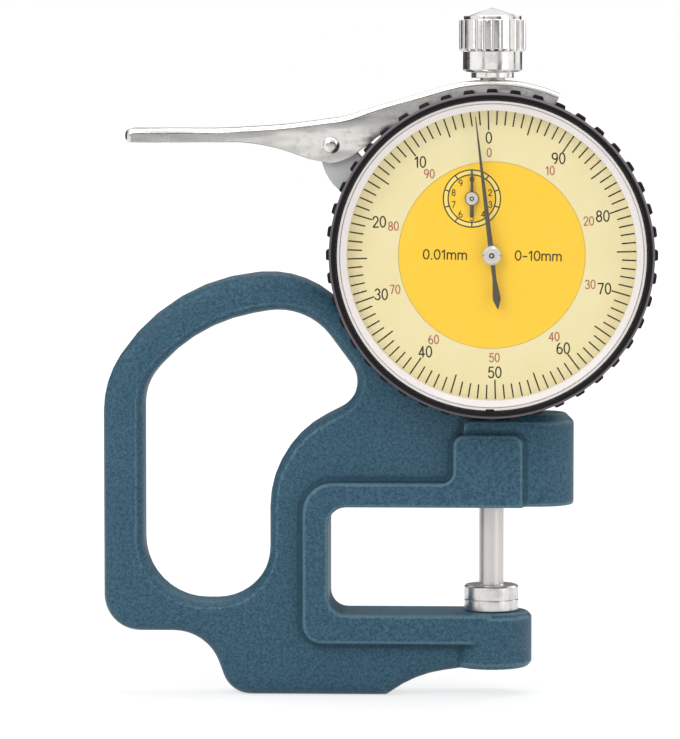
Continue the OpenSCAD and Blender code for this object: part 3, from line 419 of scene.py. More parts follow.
def bezel_black(inner, behind):
    """Black moulding of the bezel, with a painted pale sheen on its chamfer: outside inner and in front of behind"""

    def recipe(wire, place):
        base = colour("bezel")
        grain = place.noise(0.00022, 3.0, 0.6)
        cloud = place.noise(0.005, 3.0, 0.6)
        depth = place.node("ShaderNodeSeparateXYZ", None, {"Vector": place}, "Y")
        chamfer = place.radius((DIAL_X, DIAL_Z)).step((inner - 0.12) * MM, (inner + 0.12) * MM)
        # painted sheen: the chamfer round the dial is painted pale lilac-grey where it catches light
        painted_sheen = chamfer * depth.step((behind + 0.15) * MM, (behind - 0.15) * MM)
        painted_sheen = painted_sheen * (0.72 + cloud * 0.5 + grain * 0.1)
        tone = (grain.step(0.4, 0.8) * 0.10).blend(base, (0.05, 0.045, 0.055))
        return {
            "Base Color": painted_sheen.blend(tone, (0.138, 0.120, 0.135)),
            "Roughness": 0.26 + grain * 0.10 + cloud * 0.08 + painted_sheen * 0.14,
            "Normal": (grain * 0.7 + cloud * 0.3).bump(0.00003, 0.5),
        }

    return finish("bezel_moulding", recipe, Specular_IOR_Level=0.14)


def printed(name, base, shade, rough=0.42, fibre=0.00035):
    """Matt print ground on a dial sheet: faint mottling and dust"""

    def recipe(wire, place):
        grain = place.noise(fibre, 3.0, 0.6)
        cloud = place.noise(0.009, 3.0, 0.5)
        dust = place.cells(0.0016).step(0.05, 0.02)
        tone = (grain.step(0.35, 0.7) * 0.22 + cloud.step(0.35, 0.75) * 0.25).blend(base, shade)
        tone = (dust * 0.12).blend(tone, tinted(shade, -0.35))
        return {
            "Base Color": tone,
            "Roughness": rough + grain * 0.14,
            "Normal": (grain * 0.8 + cloud * 0.2).bump(0.000012, 0.4),
        }

    return finish(name, recipe)


def inked(name, base, shade):
    """Printed ink with uneven cover"""

    def recipe(wire, place):
        cover = place.noise(0.00016, 3.0, 0.6)
        return {
            "Base Color": (cover.step(0.35, 0.75) * 0.55).blend(base, shade),
            "Roughness": 0.38 + cover * 0.2,
            "Normal": cover.bump(0.000006, 0.4),
        }

    return finish(name, recipe, Specular_IOR_Level=0.15)


def clear():
    """Clear crystal with faint wipe marks"""

    def recipe(wire, place):
        wipe = place.stretched((1, 1, 0.25)).noise(0.004, 3.0, 0.6, 0.5)
        hair = place.stretched((0.2, 1, 1)).noise(0.0005, 3.0, 0.6)
        return {
            "Alpha": 0.012 + wipe.step(0.5, 0.8) * 0.010,
            "Roughness": 0.04 + wipe * 0.05 + hair * 0.02,
            "Base Color": wipe.blend((0.93, 0.95, 0.94), (0.86, 0.90, 0.88)),
        }

    return finish("crystal_clear", recipe, IOR=1.49)


# Mesh making, in millimetres
def build(name, points, faces, material, body, replaces=(), slot=None, sharp=38, bevel=0.0, weld=False):
    """A piece from points and faces, with its finish, riding on its body"""
    mesh = bpy.data.meshes.new(name)
    mesh.from_pydata((np.asarray(points, float) * MM).tolist(), [], [list(map(int, f)) for f in faces])
    mesh.validate()
    piece = bpy.data.objects.new(name, mesh)
    bpy.context.scene.collection.objects.link(piece)
    return dress(piece, material, body, replaces, sharp, bevel, weld)


def dress(piece, material, body, replaces=(), sharp=38, bevel=0.0, weld=False):
    """Finish, edges and smooth shading for a new piece"""
    mesh = piece.data
    for made in material if isinstance(material, (list, tuple)) else [material]:
        mesh.materials.append(made)
    mesh.polygons.foreach_set("use_smooth", [True] * len(mesh.polygons))
    if weld:
        join = piece.modifiers.new("weld", "WELD")
        join.merge_threshold = 0.000004
    if bevel:
        soften(piece, bevel)
    mesh.set_sharp_from_angle(angle=math.radians(sharp))
    weigh = piece.modifiers.new("normals", "WEIGHTED_NORMAL")
    weigh.keep_sharp = True
    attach(piece, body)
    if replaces:
        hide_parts(*replaces)
    return piece


def soften(piece, width, steps=2, angle=34):
    edge = piece.modifiers.new("edges", "BEVEL")
    edge.width = width * MM if width > 0.01 else width
    edge.segments = steps
    edge.limit_method = "ANGLE"
    edge.angle_limit = math.radians(angle)
    edge.harden_normals = False
    edge.use_clamp_overlap = True
    return edge


def keep(node, material, bevel=0.08, steps=2, sharp=40):
    """A CAD node that stays: rounded edges and its own finish"""
    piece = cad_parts[node]
    piece.data.materials.clear()
    piece.data.materials.append(material)
    piece.data.polygons.foreach_set("use_smooth", [True] * len(piece.data.polygons))
    join = piece.modifiers.new("weld", "WELD")
    join.merge_threshold = 0.000002
    if bevel:
        soften(piece, bevel, steps)
    smooth = piece.modifiers.new("normals", "WEIGHTED_NORMAL")
    smooth.keep_sharp = True
    return piece


def eased(profile, radius, steps=3, closed=False):
    """A profile with its corners rounded; a third value is that corner's own radius"""
    count = len(profile)
    out = []
    for i, corner in enumerate(profile):
        here = np.array(corner[:2], float)
        r = corner[2] if len(corner) > 2 else radius
        if not closed and i in (0, count - 1) or r == 0:
            out.append(here)
            continue
        before = np.array(profile[(i - 1) % count][:2], float) - here
        after = np.array(profile[(i + 1) % count][:2], float) - here
        la, lb = np.linalg.norm(before), np.linalg.norm(after)
        u, w = before / la, after / lb
        half = math.acos(max(-1, min(1, float(u @ w)))) / 2
        if half > 1.5:
            out.append(here)
            continue
        reach = min(r / math.tan(half), 0.45 * la, 0.45 * lb)
        start, end = here + u * reach, here + w * reach
        for k in range(steps + 1):
            t = k / steps
            out.append((1 - t) ** 2 * start + 2 * t * (1 - t) * here + t * t * end)
    return [tuple(p) for p in out]


def turned(profile, place, axis="y", steps=160, wave=None, closed=True):
    """Points and faces of a profile of (radius, along) turned round an axis through place"""
    angles = np.arange(steps) * 2 * math.pi / steps
    points = []
    for r, t in profile:
        radii = np.full(steps, r) if wave is None else wave(r, t, angles)
        a, b = radii * np.cos(angles), radii * np.sin(angles)
        along = np.full(steps, t)
        if axis == "y":
            points.append(np.stack([place[0] + a, along, place[1] + b], 1))
        else:
            points.append(np.stack([place[0] + a, place[1] + b, along], 1))
    points = np.concatenate(points)
    n = len(profile)
    faces = []
    for i in range(n if closed else n - 1):
        j = (i + 1) % n
        if abs(profile[i][0]) < 1e-9 and abs(profile[j][0]) < 1e-9:
            continue
        for k in range(steps):
            q = (k + 1) % steps
            a, b, c, d = i * steps + k, i * steps + q, j * steps + q, j * steps + k
            if abs(profile[i][0]) < 1e-9:
                faces.append((i * steps, c, d))
            elif abs(profile[j][0]) < 1e-9:
                faces.append((a, b, j * steps))
            else:
                faces.append((a, b, c, d))
    if axis == "z":
        return points, faces
    return points, [tuple(reversed(f)) for f in faces]


def joined(*parts):
    """Several (points, faces) as one"""
    points, faces, base = [], [], 0
    for p, f in parts:
        points.append(np.asarray(p, float).reshape(-1, 3))
        faces.extend(tuple(i + base for i in face) for face in f)
        base += len(points[-1])
    return np.concatenate(points), faces


def ring_point(r, degrees):
    a = math.radians(degrees)
    return DIAL_X + r * math.cos(a), DIAL_Z + r * math.sin(a)


# Printed strokes
def curve(cx, cy, rx, ry, start, end):
    steps = max(6, int(abs(end - start) / 11))
    return [
        (cx + rx * math.cos(math.radians(a)), cy + ry * math.sin(math.radians(a)))
        for a in np.linspace(start, end, steps + 1)
    ]


GLYPHS = {
    "0": (0.56, [curve(0.28, 0.5, 0.25, 0.48, 0, 360)]),
    "1": (0.36, [[(0.04, 0.76), (0.25, 0.96), (0.25, 0.02)]]),
    "2": (0.56, [curve(0.28, 0.71, 0.235, 0.27, 172, -28) + [(0.05, 0.02), (0.53, 0.02)]]),
    "3": (0.55, [curve(0.27, 0.74, 0.21, 0.24, 155, -82) + curve(0.27, 0.26, 0.24, 0.25, 82, -158)]),
    "4": (0.57, [[(0.41, 0.02), (0.41, 0.97), (0.03, 0.27), (0.56, 0.27)]]),
    "5": (0.56, [[(0.49, 0.97), (0.13, 0.97), (0.08, 0.52)] + curve(0.27, 0.32, 0.25, 0.31, 128, -152)]),
    "6": (0.56, [curve(0.29, 0.29, 0.24, 0.28, 90, 450), curve(0.43, 0.36, 0.385, 0.62, 183, 108)]),
    "7": (0.54, [[(0.03, 0.97), (0.51, 0.97), (0.19, 0.02)]]),
    "8": (0.56, [curve(0.28, 0.74, 0.20, 0.23, -90, 270), curve(0.28, 0.26, 0.24, 0.25, 90, 450)]),
    "9": (0.56, [curve(0.27, 0.70, 0.24, 0.28, -90, 270), curve(0.13, 0.63, 0.385, 0.62, 3, -72)]),
    "m": (0.86, [
        [(0.05, 0.02), (0.05, 0.68)],
        curve(0.235, 0.48, 0.185, 0.21, 165, 0) + [(0.42, 0.02)],
        curve(0.605, 0.48, 0.185, 0.21, 165, 0) + [(0.79, 0.02)],
    ]),
    ".": (0.20, [[(0.10, 0.0), (0.10, 0.05)]]),
    "-": (0.44, [[(0.06, 0.40), (0.38, 0.40)]]),
}


def stroke(path, width, y):
    """A flat ribbon along a path of (x, z), with round ends, near y; parts that overlap lie on their own levels"""
    path = [np.array(p, float) for p in path]
    closed = np.linalg.norm(path[0] - path[-1]) < 1e-6
    if closed:
        path = path[:-1]
    count = len(path)
    parts = []
    spans = count if closed else count - 1
    for i in range(spans):
        a, b = path[i], path[(i + 1) % count]
        d = (b - a) / np.linalg.norm(b - a)
        side = np.array([-d[1], d[0]]) * width / 2
        corners = [a - side, b - side, b + side, a + side]
        parts.append(([(c[0], y + 0.002 * (i % 3), c[1]) for c in corners], [(0, 1, 2, 3)]))
    for i in range(count):
        level = y + 0.006 + 0.002 * (i % 3)
        ring = [
            (path[i][0] + width / 2 * math.cos(t), level, path[i][1] + width / 2 * math.sin(t))
            for t in np.arange(12) * math.pi / 6
        ]
        parts.append((ring, [tuple(range(12))]))
    return joined(*parts)


def lettering(text, x, z, height, width, y, spread=1.0, turn=0.0):
    """Upright text centred at x, z"""
    gap = 0.13
    total = sum(GLYPHS[c][0] for c in text) * spread + gap * (len(text) - 1)
    pen = -total / 2
    parts = []
    c, s = math.cos(math.radians(turn)), math.sin(math.radians(turn))
    for mark in text:
        wide, paths = GLYPHS[mark]
        for path in paths:
            spots = [((pen + px * spread) * height, (pz - 0.5) * height) for px, pz in path]
            parts.append(stroke([(x + a * c - b * s, z + a * s + b * c) for a, b in spots], width, y))
        pen += wide * spread + gap
    return joined(*parts)


# Casting
class GAUGE_OT_casting(bpy.types.Operator):
    """Works the cast frame: soft edges, fillets and hammered enamel with worn ridges and painted shade in its
    hollows
    """

    bl_idname = "gauge.casting"
    bl_label = "Frame casting"

    def execute(self, context):
        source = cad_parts["frame"]
        rough = bpy.data.objects.new("casting_blank", source.data.copy())
        context.scene.collection.objects.link(rough)
        remesh = rough.modifiers.new("voxels", "REMESH")
        remesh.mode = "VOXEL"
        remesh.voxel_size = sizes().casting_grain * 1
        smooth = rough.modifiers.new("smooth", "SMOOTH")
        smooth.factor = 0.5
        smooth.iterations = sizes().casting_soft
        shape = rough.evaluated_get(context.evaluated_depsgraph_get())
        mesh = bpy.data.meshes.new_from_object(shape)
        bpy.data.objects.remove(rough)
        if len(mesh.vertices) < 1000:
            raise RuntimeError("the casting came out empty")
        mesh.name = "frame_casting"
        mark_wear(mesh)
        piece = bpy.data.objects.new("frame_casting", mesh)
        context.scene.collection.objects.link(piece)
        mesh.materials.clear()
        mesh.materials.append(enamel())
        mesh.polygons.foreach_set("use_smooth", [True] * len(mesh.polygons))
        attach(piece, "base")
        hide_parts("frame")
        return {"FINISHED"}


def mark_wear(mesh):
    """Vertex values for ridges, which wear, and hollows, which get painted shade"""
    count = len(mesh.vertices)
    places = np.zeros(count * 3, np.float32)
    mesh.vertices.foreach_get("co", places)
    places = places.reshape(-1, 3).astype(float)
    normals = np.zeros(count * 3, np.float32)
    mesh.vertices.foreach_get("normal", normals)
    normals = normals.reshape(-1, 3).astype(float)
    ends = np.zeros(len(mesh.edges) * 2, np.int32)
    mesh.edges.foreach_get("vertices", ends)
    a, b = ends.reshape(-1, 2).T
    way = places[b] - places[a]
    length = np.linalg.norm(way, axis=1) + 1e-12
    bend = np.sum((normals[b] - normals[a]) * way, axis=1) / (length * length)
    total = np.bincount(a, bend, count) + np.bincount(b, bend, count)
    links = np.bincount(a, minlength=count) + np.bincount(b, minlength=count)
    value = total / np.maximum(links, 1)
    for _ in range(2):
        spread = np.bincount(a, value[b], count) + np.bincount(b, value[a], count)
        value = 0.5 * value + 0.5 * spread / np.maximum(links, 1)
    # worn marks ridges for edge wear; hollow marks hollows for the enamel's painted shade
    for name, shown in (("worn", value / 420), ("hollow", -value / 300)):
        layer = mesh.attributes.new(name, "FLOAT", "POINT")
        layer.data.foreach_set("value", np.clip(shown, 0, 1).astype(np.float32))


# Bezel
class GAUGE_OT_bezel(bpy.types.Operator):
    """Turns the toothed bezel with its rounded front and locating tab"""

    bl_idname = "gauge.bezel"
    bl_label = "Bezel"

    def execute(self, context):
        edge = sizes().bezel_edge / MM
        teeth = sizes().bezel_teeth
        low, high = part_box("bezel")
        front, back = low[1] / MM, high[1] / MM
        tooth_r = (high[0] - low[0]) / 2 / MM - 0.02
        rim = 29.6
        tooth_front = back - 4.8
        profile = eased([
            (28.2, -10.12, 0), (28.2, front + 0.5, 0.15), (28.42, front, 0.15), (rim - 0.42, front, edge),
            (rim, front + 0.62, edge), (rim, tooth_front - 0.25, 0), (rim, tooth_front, 0),
            (rim + 0.001, tooth_front + 0.001, 0), (rim + 0.001, tooth_front + 0.25, 0),
            (rim + 0.001, back - 0.25, 0), (rim + 0.001, back, 0),
            (27.1, back, 0.1), (27.1, -9.5, 0), (26.15, -9.52, 0), (26.15, -10.12, 0),
        ], 0.2, closed=True)

        def wave(r, along, angles):
            radii = np.full(len(angles), float(r))
            if r > rim + 0.0005 and along > tooth_front:
                share = np.mod(angles / (2 * math.pi) * teeth + 0.5, 1) - 0.5
                height = np.clip((0.215 - np.abs(share)) / 0.05 + 0.5, 0, 1)
                height = height * height * (3 - 2 * height)
                fade = 0.45 if along < tooth_front + 0.1 or along > back - 0.1 else 1.0
                radii += (tooth_r - rim) * height * fade
            return radii

        points, faces = turned(profile, (DIAL_X, DIAL_Z), "y", teeth * (20), wave)
        black = bezel_black(rim - 0.40, front + 0.85)
        build("bezel_moulding", points, faces, black, "bezel", ["bezel"], "bezel_black", sharp=48)
        tab = bar_shape(0.82, 0.28, (-0.25, DIAL_Z - 28.1), front + 0.55, front + 1.15)
        build("bezel_tab", *tab, black, "bezel", slot="bezel_black", bevel=0.08)
        keep("bezel_wire", ground("wire_steel", colour("steel"), "y"), 0)
        return {"FINISHED"}


def bar_shape(half_w, half_h, centre, y0, y1):
    """A small block with its long sides along Y"""
    x, z = centre
    points = [
        (x + sx * half_w, y, z + sz * half_h)
        for y in (y0, y1) for sx, sz in ((-1, -1), (1, -1), (1, 1), (-1, 1))
    ]
    faces = [(0, 1, 2, 3), (7, 6, 5, 4), (0, 4, 5, 1), (1, 5, 6, 2), (2, 6, 7, 3), (3, 7, 4, 0)]
    return points, faces


# Crystal
class GAUGE_OT_crystal(bpy.types.Operator):
    """Makes the crystal and the off-white ring that holds it"""

    bl_idname = "gauge.crystal"
    bl_label = "Crystal and ring"

    def execute(self, context):
        ring = eased([
            (26.38, -10.5, 0.05), (26.38, -13.3, 0.06), (27.50, -14.2, 0.05), (27.55, -13.8, 0.02),
            (27.69, -13.8, 0.02), (27.73, -14.43, 0.05), (28.12, -14.43, 0.05), (28.12, -10.5, 0.05),
        ], 0.05, closed=True)
        points, faces = turned(ring, (DIAL_X, DIAL_Z), "y", 256)

        def recipe(wire, place):
            base = colour("ring")
            grain = place.noise(0.00018, 3.0, 0.6)
            cloud = place.noise(0.005, 3.0, 0.6)
            nick = place.cells(0.0021).step(0.07, 0.02)
            tone = (grain.step(0.4, 0.75) * 0.2 + cloud.step(0.4, 0.8) * 0.2).blend(base, tinted(base, -0.2))
            return {
                "Base Color": (nick * 0.25).blend(tone, tinted(base, -0.5)),
                "Roughness": 0.30 + grain * 0.12 + cloud * 0.06,
                "Normal": (grain * 0.8 + nick * 0.4).bump(0.000012, 0.5),
            }

        build(
            "crystal_ring_moulding", points, faces, finish("ring_moulding", recipe, Coat_Weight=0.2),
            "bezel", ["crystal_ring"], "crystal_ring", sharp=30,
        )
        disc = eased([(0, -13.0, 0), (26.35, -13.0, 0.08), (26.35, -13.78, 0.12), (0, -13.8, 0)], 0.08)
        points, faces = turned(disc, (DIAL_X, DIAL_Z), "y", 192, closed=False)
        glass = build("crystal_disc", points, faces, clear(), "bezel", ["crystal"], "crystal", sharp=30)
        glass.visible_shadow = False
        return {"FINISHED"}


# Dial
def annulus(inner, outer, front, back, place=(0.0, None), steps=192):
    z = DIAL_Z if place[1] is None else place[1]
    profile = eased([(inner, front), (outer, front), (outer, back), (inner, back)], 0.05, 2, closed=True)
    return turned(profile, (place[0], z), "y", steps)


class GAUGE_OT_dial(bpy.types.Operator):
    """Prints the outer scale, the yellow inner dial and the small counting dial"""

    bl_idname = "gauge.dial"
    bl_label = "Dial faces"

    def execute(self, context):
        size = sizes()
        y = FACE_Y - 0.025
        cream = printed("scale_print", colour("cream"), tinted(colour("cream"), 0.25))
        yellow = printed("inner_print", colour("yellow"), (0.95, 0.62, 0.03))
        dark = inked("dark_ink", colour("ink"), tinted(colour("ink"), 0.02))
        red = inked("red_ink", colour("red_ink"), tinted(colour("red_ink"), 0.08))
        build(
            "scale_sheet", *annulus(17.05, 27.88, FACE_Y, FACE_Y + 0.4), cream,
            "bezel", ["scale_ring"], "dial_cream",
        )
        ticks, numerals, inner_numerals = [], [], []
        turn = 1.57
        for i in range(100):
            a = math.radians(90 + turn + 3.6 * i)
            long = 3.35 if i % 5 == 0 else 2.4
            out, way = 26.2, (math.cos(a), math.sin(a))
            ticks.append(stroke(
                [(out * way[0], DIAL_Z + out * way[1]), ((out - long) * way[0], DIAL_Z + (out - long) * way[1])],
                size.tick_width / MM, y,
            ))
        for i in range(10):
            at = 90 + turn + 36 * i
            high = size.numeral_height / MM
            x, z = ring_point(21.4, at)
            numerals.append(lettering(str(i * 10), x, z, high, high * 0.125, y, 0.95, turn * 0.6))
            high = size.inner_numeral_height / MM
            x, z = ring_point(18.7, at)
            inner_numerals.append(
                lettering(str((100 - i * 10) % 100), x, z, high, high * 0.125, y, 0.92, turn * 0.6)
            )
        build("scale_ticks", *joined(*ticks), dark, "bezel", slot="dial_cream")
        build("scale_numerals", *joined(*numerals), dark, "bezel", slot="dial_cream")
        build("scale_red_numerals", *joined(*inner_numerals), red, "bezel", slot="dial_cream")
        self.inner(yellow, dark, y)
        return {"FINISHED"}

    def inner(self, yellow, dark, y):
        size = sizes()
        keep("inner_dial", yellow, 0.04)
        pale = printed("counter_print", (0.88, 0.68, 0.17), (0.92, 0.75, 0.24))
        place = (COUNTER_X, COUNTER_Z)
        parts = [
            annulus(4.33, 5.2, y + 0.012, FACE_Y + 0.005, place, 128),
        ]
        build("counter_band", *joined(*parts), pale, "base", slot="dial_yellow")
        marks = [
            annulus(5.09, 5.31, y, FACE_Y + 0.002, place, 128),
            annulus(4.22, 4.44, y, FACE_Y + 0.002, place, 128),
        ]
        digits = []
        for i in range(10):
            a = math.radians(90 - 36 * i)
            way = (math.cos(a), math.sin(a))
            marks.append(stroke(
                [(COUNTER_X + r * way[0], COUNTER_Z + r * way[1]) for r in (5.2, 4.3)], 0.22, y - 0.004
            ))
            high = size.counter_numeral_height / MM
            digits.append(lettering(
                str(i), COUNTER_X + 3.5 * way[0], COUNTER_Z + 3.5 * way[1], high, high * 0.14, y, 1.05
            ))
        build("counter_rings", *joined(*marks), dark, "base", slot="dial_yellow")
        build("counter_numerals", *joined(*digits), dark, "base", slot="dial_yellow")
        notes = [
            lettering("0.01mm", -8.5, DIAL_Z + 0.1, 1.75, 0.24, y, 1.16, -0.9),
            lettering("0-10mm", 8.5, DIAL_Z - 0.1, 1.75, 0.24, y, 1.16, -0.9),
        ]
        build("range_marks", *joined(*notes), dark, "base", slot="dial_yellow")


# Pointers
def ridged(outline, ridge, y_edge, y_ridge, y_back, place, turn):
    """A thin pointer with a raised line along its middle; outline runs (half width, along)"""
    c, s = math.cos(math.radians(turn)), math.sin(math.radians(turn))

    def spot(x, y, z):
        return (place[0] + x * c - z * s, y, place[1] + x * s + z * c)

    points, faces = [], []
    for half, along in outline:
        points += [
            spot(-half, y_edge, along), spot(0, y_edge - ridge * min(1, half * 3), along),
            spot(half, y_edge, along), spot(half, y_back, along), spot(-half, y_back, along),
        ]
    for i in range(len(outline) - 1):
        a, b = i * 5, i * 5 + 5
        for k in range(5):
            q = (k + 1) % 5
            faces.append((a + k, a + q, b + q, b + k))
    last = (len(outline) - 1) * 5
    faces.append((4, 3, 2, 1, 0))
    faces.append(tuple(last + k for k in range(5)))
    return points, faces


class GAUGE_OT_pointers(bpy.types.Operator):
    """Makes the main pointer, the small pointer and their bosses"""

    bl_idname = "gauge.pointers"
    bl_label = "Pointers"

    def execute(self, context):
        lacquer = moulded(
            "pointer_lacquer", colour("pointer"), 0.34, tinted(colour("pointer"), 0.10), 0.000008
        )
        bright = faced("boss_nickel", colour("nickel"), (DIAL_X, DIAL_Z), 0.20)
        small = faced("small_boss_nickel", colour("nickel"), (COUNTER_X, COUNTER_Z), 0.22)
        body = [
            (0.06, 25.45), (0.10, 24.6), (0.33, 12), (0.485, 1.0), (0.485, 0), (0.40, -2.5),
            (0.36, -4.2), (0.72, -7.6), (0.72, -8.1), (0.10, -9.8),
        ]
        hand = ridged(body, 0.10, -12.22, 0, -12.1, (DIAL_X, DIAL_Z), 6.8)
        build("main_hand", *hand, lacquer, "main_arbor", ["main_pointer"], "pointer_dark", sharp=20)
        boss = eased([
            (0, -12.84, 0), (0.42, -12.84, 0.03), (0.46, -12.76, 0.02), (0.52, -12.87, 0.03),
            (1.30, -12.87, 0.04), (1.78, -12.4, 0.06), (1.78, -11.4, 0.05), (0, -11.4, 0),
        ], 0.04)
        points, faces = turned(boss, (DIAL_X, DIAL_Z), "y", 96, closed=False)
        build("main_boss", points, faces, bright, "main_arbor", slot="nickel", sharp=28)
        pin_ring = annulus(0.22, 0.47, -12.86, -12.7, (DIAL_X, DIAL_Z), 48)
        dark = inked("joint_shadow", (0.02, 0.02, 0.02), (0.05, 0.05, 0.05))
        slit = [
            ([(s * 1.34, -12.86, DIAL_Z - 0.05), (s * 1.76, -12.44, DIAL_Z - 0.05),
              (s * 1.76, -12.44, DIAL_Z + 0.05), (s * 1.34, -12.86, DIAL_Z + 0.05)], [(0, 1, 2, 3)])
            for s in (-1, 1)
        ]
        build("main_boss_joint", *joined(pin_ring, *slit), dark, "main_arbor", slot="pointer_dark")
        hand = ridged(
            [(0.17, 4.95), (0.19, 4.7), (0.285, 0.8), (0.285, -0.6), (0.375, -3.1), (0.33, -3.28)],
            0.03, -11.16, 0, -11.03, (COUNTER_X, COUNTER_Z), 0,
        )
        build("small_hand", *hand, lacquer, "counter_arbor", ["counter_pointer"], "pointer_dark", sharp=20)
        boss = eased([
            (0, -11.42, 0), (0.34, -11.42, 0.02), (0.40, -11.5, 0.03), (0.95, -11.5, 0.05),
            (1.15, -11.32, 0.05), (1.15, -11.0, 0.04), (0, -11.0, 0),
        ], 0.03)
        points, faces = turned(boss, (COUNTER_X, COUNTER_Z), "y", 72, closed=False)
        build("small_boss", points, faces, small, "counter_arbor", slot="nickel", sharp=28)
        pin_ring = annulus(0.20, 0.44, -11.507, -11.3, (COUNTER_X, COUNTER_Z), 48)
        build("small_boss_joint", *pin_ring, dark, "counter_arbor", slot="pointer_dark")
        return {"FINISHED"}


# Lever
def through(knots, parts):
    """A smooth line through knots, with that many parts between two of them"""
    knots = [np.array(k, float) for k in knots]
    knots = [2 * knots[0] - knots[1]] + knots + [2 * knots[-1] - knots[-2]]
    out = []
    for i in range(1, len(knots) - 2):
        a, b, c, d = knots[i - 1:i + 3]
        for k in range(parts):
            t = k / parts
            out.append(0.5 * (
                2 * b + (c - a) * t + (2 * a - 5 * b + 4 * c - d) * t * t + (3 * b - a - 3 * c + d) * t ** 3
            ))
    out.append(knots[-2])
    return np.array(out)


def on_dial(r, angles):
    return [ring_point(r, a) for a in angles]


def on_lobe(angles, r=3.35):
    return [
        (PIVOT_X + r * math.cos(math.radians(a)), PIVOT_Z + r * math.sin(math.radians(a))) for a in angles
    ]


class GAUGE_OT_lever(bpy.types.Operator):
    """Bends the lifting lever from sheet and sets its pivot screw"""

    bl_idname = "gauge.lever"
    bl_label = "Lifting lever"

    def execute(self, context):
        px, pz = PIVOT_X, PIVOT_Z
        upper = [
            (-66.3, pz + 3.1), (-58.5, pz + 3.11), (-50.4, pz + 3.12), (-44.5, pz + 3.41),
            (px - 9.12, pz + 3.8), (-34.6, pz + 4.29), (-32.6, pz + 4.55), (-31.0, pz + 4.77),
            (-29.7, pz + 4.94), (-28.3, pz + 5.12), (-26.6, pz + 5.51), (-25.5, pz + 5.84),
            (-23.9, pz + 6.35), (-21.5, pz + 7.15), (-18.9, pz + 7.9), (-14.2, pz + 9.27),
        ] + on_dial(31.9, [104, 98, 92, 86, 80, 73, 67])
        lower = [
            (-66.3, pz + 0.5), (-58.5, pz + 0.51), (-50.4, pz + 0.55), (-45.46, pz + 0.53),
            (px - 10.26, pz - 0.46), (px - 5.81, pz - 1.86), (px - 3.95, pz - 2.51),
        ] + on_lobe([245, 267, 290]) + [
            (px + 2.86, pz - 2.48), (px + 3.78, pz - 2.04), (px + 5.25, pz - 0.91),
            (px + 7.11, pz + 0.47), (px + 8.76, pz + 1.74),
        ] + on_dial(28.9, [118, 105, 98, 92, 86, 80, 73, 67])
        top, low = through(upper, 6), through(lower, 6)
        half = np.full(len(top), 5.5)
        ends = []
        for a in np.linspace(90, 12, 7):
            k = math.radians(a)
            drop = 1.2 * (1 - math.cos(k))
            ends.append((-66.3 - 1.2 * math.sin(k), pz + 3.1 - drop, pz + 0.5 + drop, 5.5 - 1.5 * (1 - math.cos(k))))
        top = np.concatenate([[(e[0], e[1]) for e in ends], top])
        low = np.concatenate([[(e[0], e[2]) for e in ends], low])
        half = np.concatenate([[e[3] for e in ends], half])
        points, faces, count = [], [], 0
        slots = []
        for t, b, h in zip(top, low, half):
            up = t - b
            tall = float(np.linalg.norm(up))
            up = up / tall
            slot = 0.0
            if t[0] > -6.35 and t[1] > DIAL_Z:
                slot = 2.75 if t[0] > -3.6 else math.sqrt(max(0.0, 2.75 ** 2 - (t[0] + 3.6) ** 2))
            slots.append(slot)
            bend, thin = min(1.05, 0.45 * tall), min(0.9, 0.42 * tall)
            inner = max(0.2, bend - thin)
            section = [(-h + 0.12, 0.0), (-h, 0.12)]
            section += [
                (-h + bend * (1 - math.cos(k)), tall - bend * (1 - math.sin(k)))
                for k in np.linspace(0, math.pi / 2, 8)
            ]
            section += [(-slot - 0.12, tall), (-slot, tall - 0.1)] if slot else [(-0.12, tall), (0, tall)]
            section += [(-slot, tall - thin)]
            section += [
                (-h + thin + inner * (1 - math.cos(k)), tall - thin - inner * (1 - math.sin(k)))
                for k in np.linspace(math.pi / 2, 0, 5)
            ]
            section += [(-h + thin, 0.12), (-h + thin - 0.12, 0.0)]
            count = len(section)
            for y, z in section:
                points.append((b[0] + up[0] * z, y, b[1] + up[1] * z))
        rows = len(top)
        for i in range(rows - 1):
            for k in range(count):
                q = (k + 1) % count
                if k == 11 and slots[i] == 0 and slots[i + 1] == 0:
                    continue
                faces.append((i * count + k, i * count + q, (i + 1) * count + q, (i + 1) * count + k))
        faces.append(tuple(range(count - 1, -1, -1)))
        faces.append(tuple((rows - 1) * count + k for k in range(count)))
        points = np.array(points)
        other = points * (1, -1, 1)
        both = joined((points, faces), (other, [tuple(reversed(f)) for f in faces]))
        nickel = plated("lever_nickel", tinted(colour("nickel"), -0.10), "x", 0.14, 0.6, 0.35, 0.0010)
        build("lever_channel", *both, nickel, "lever", ["lift_lever"], "nickel", sharp=42, weld=True)
        self.screw()
        return {"FINISHED"}

    def screw(self):
        low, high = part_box("lever_screw")
        front, back = low[1] / MM, high[1] / MM
        head = [
            (0, front), (0.55, front + 0.03), (1.0, front + 0.14), (1.35, front + 0.36), (1.53, front + 0.62),
            (1.55, front + 0.78), (1.0, front + 0.80), (1.0, back - 0.8), (1.55, back - 0.78),
            (1.55, back - 0.12), (1.43, back), (0, back),
        ]
        points, faces = turned(head, (PIVOT_X, PIVOT_Z), "y", 72, closed=False)
        bright = plated("screw_nickel", colour("nickel"), "none", 0.14, 0.4, 0.5)
        build("lever_pivot", points, faces, bright, "base", ["lever_screw"], "nickel", sharp=34)


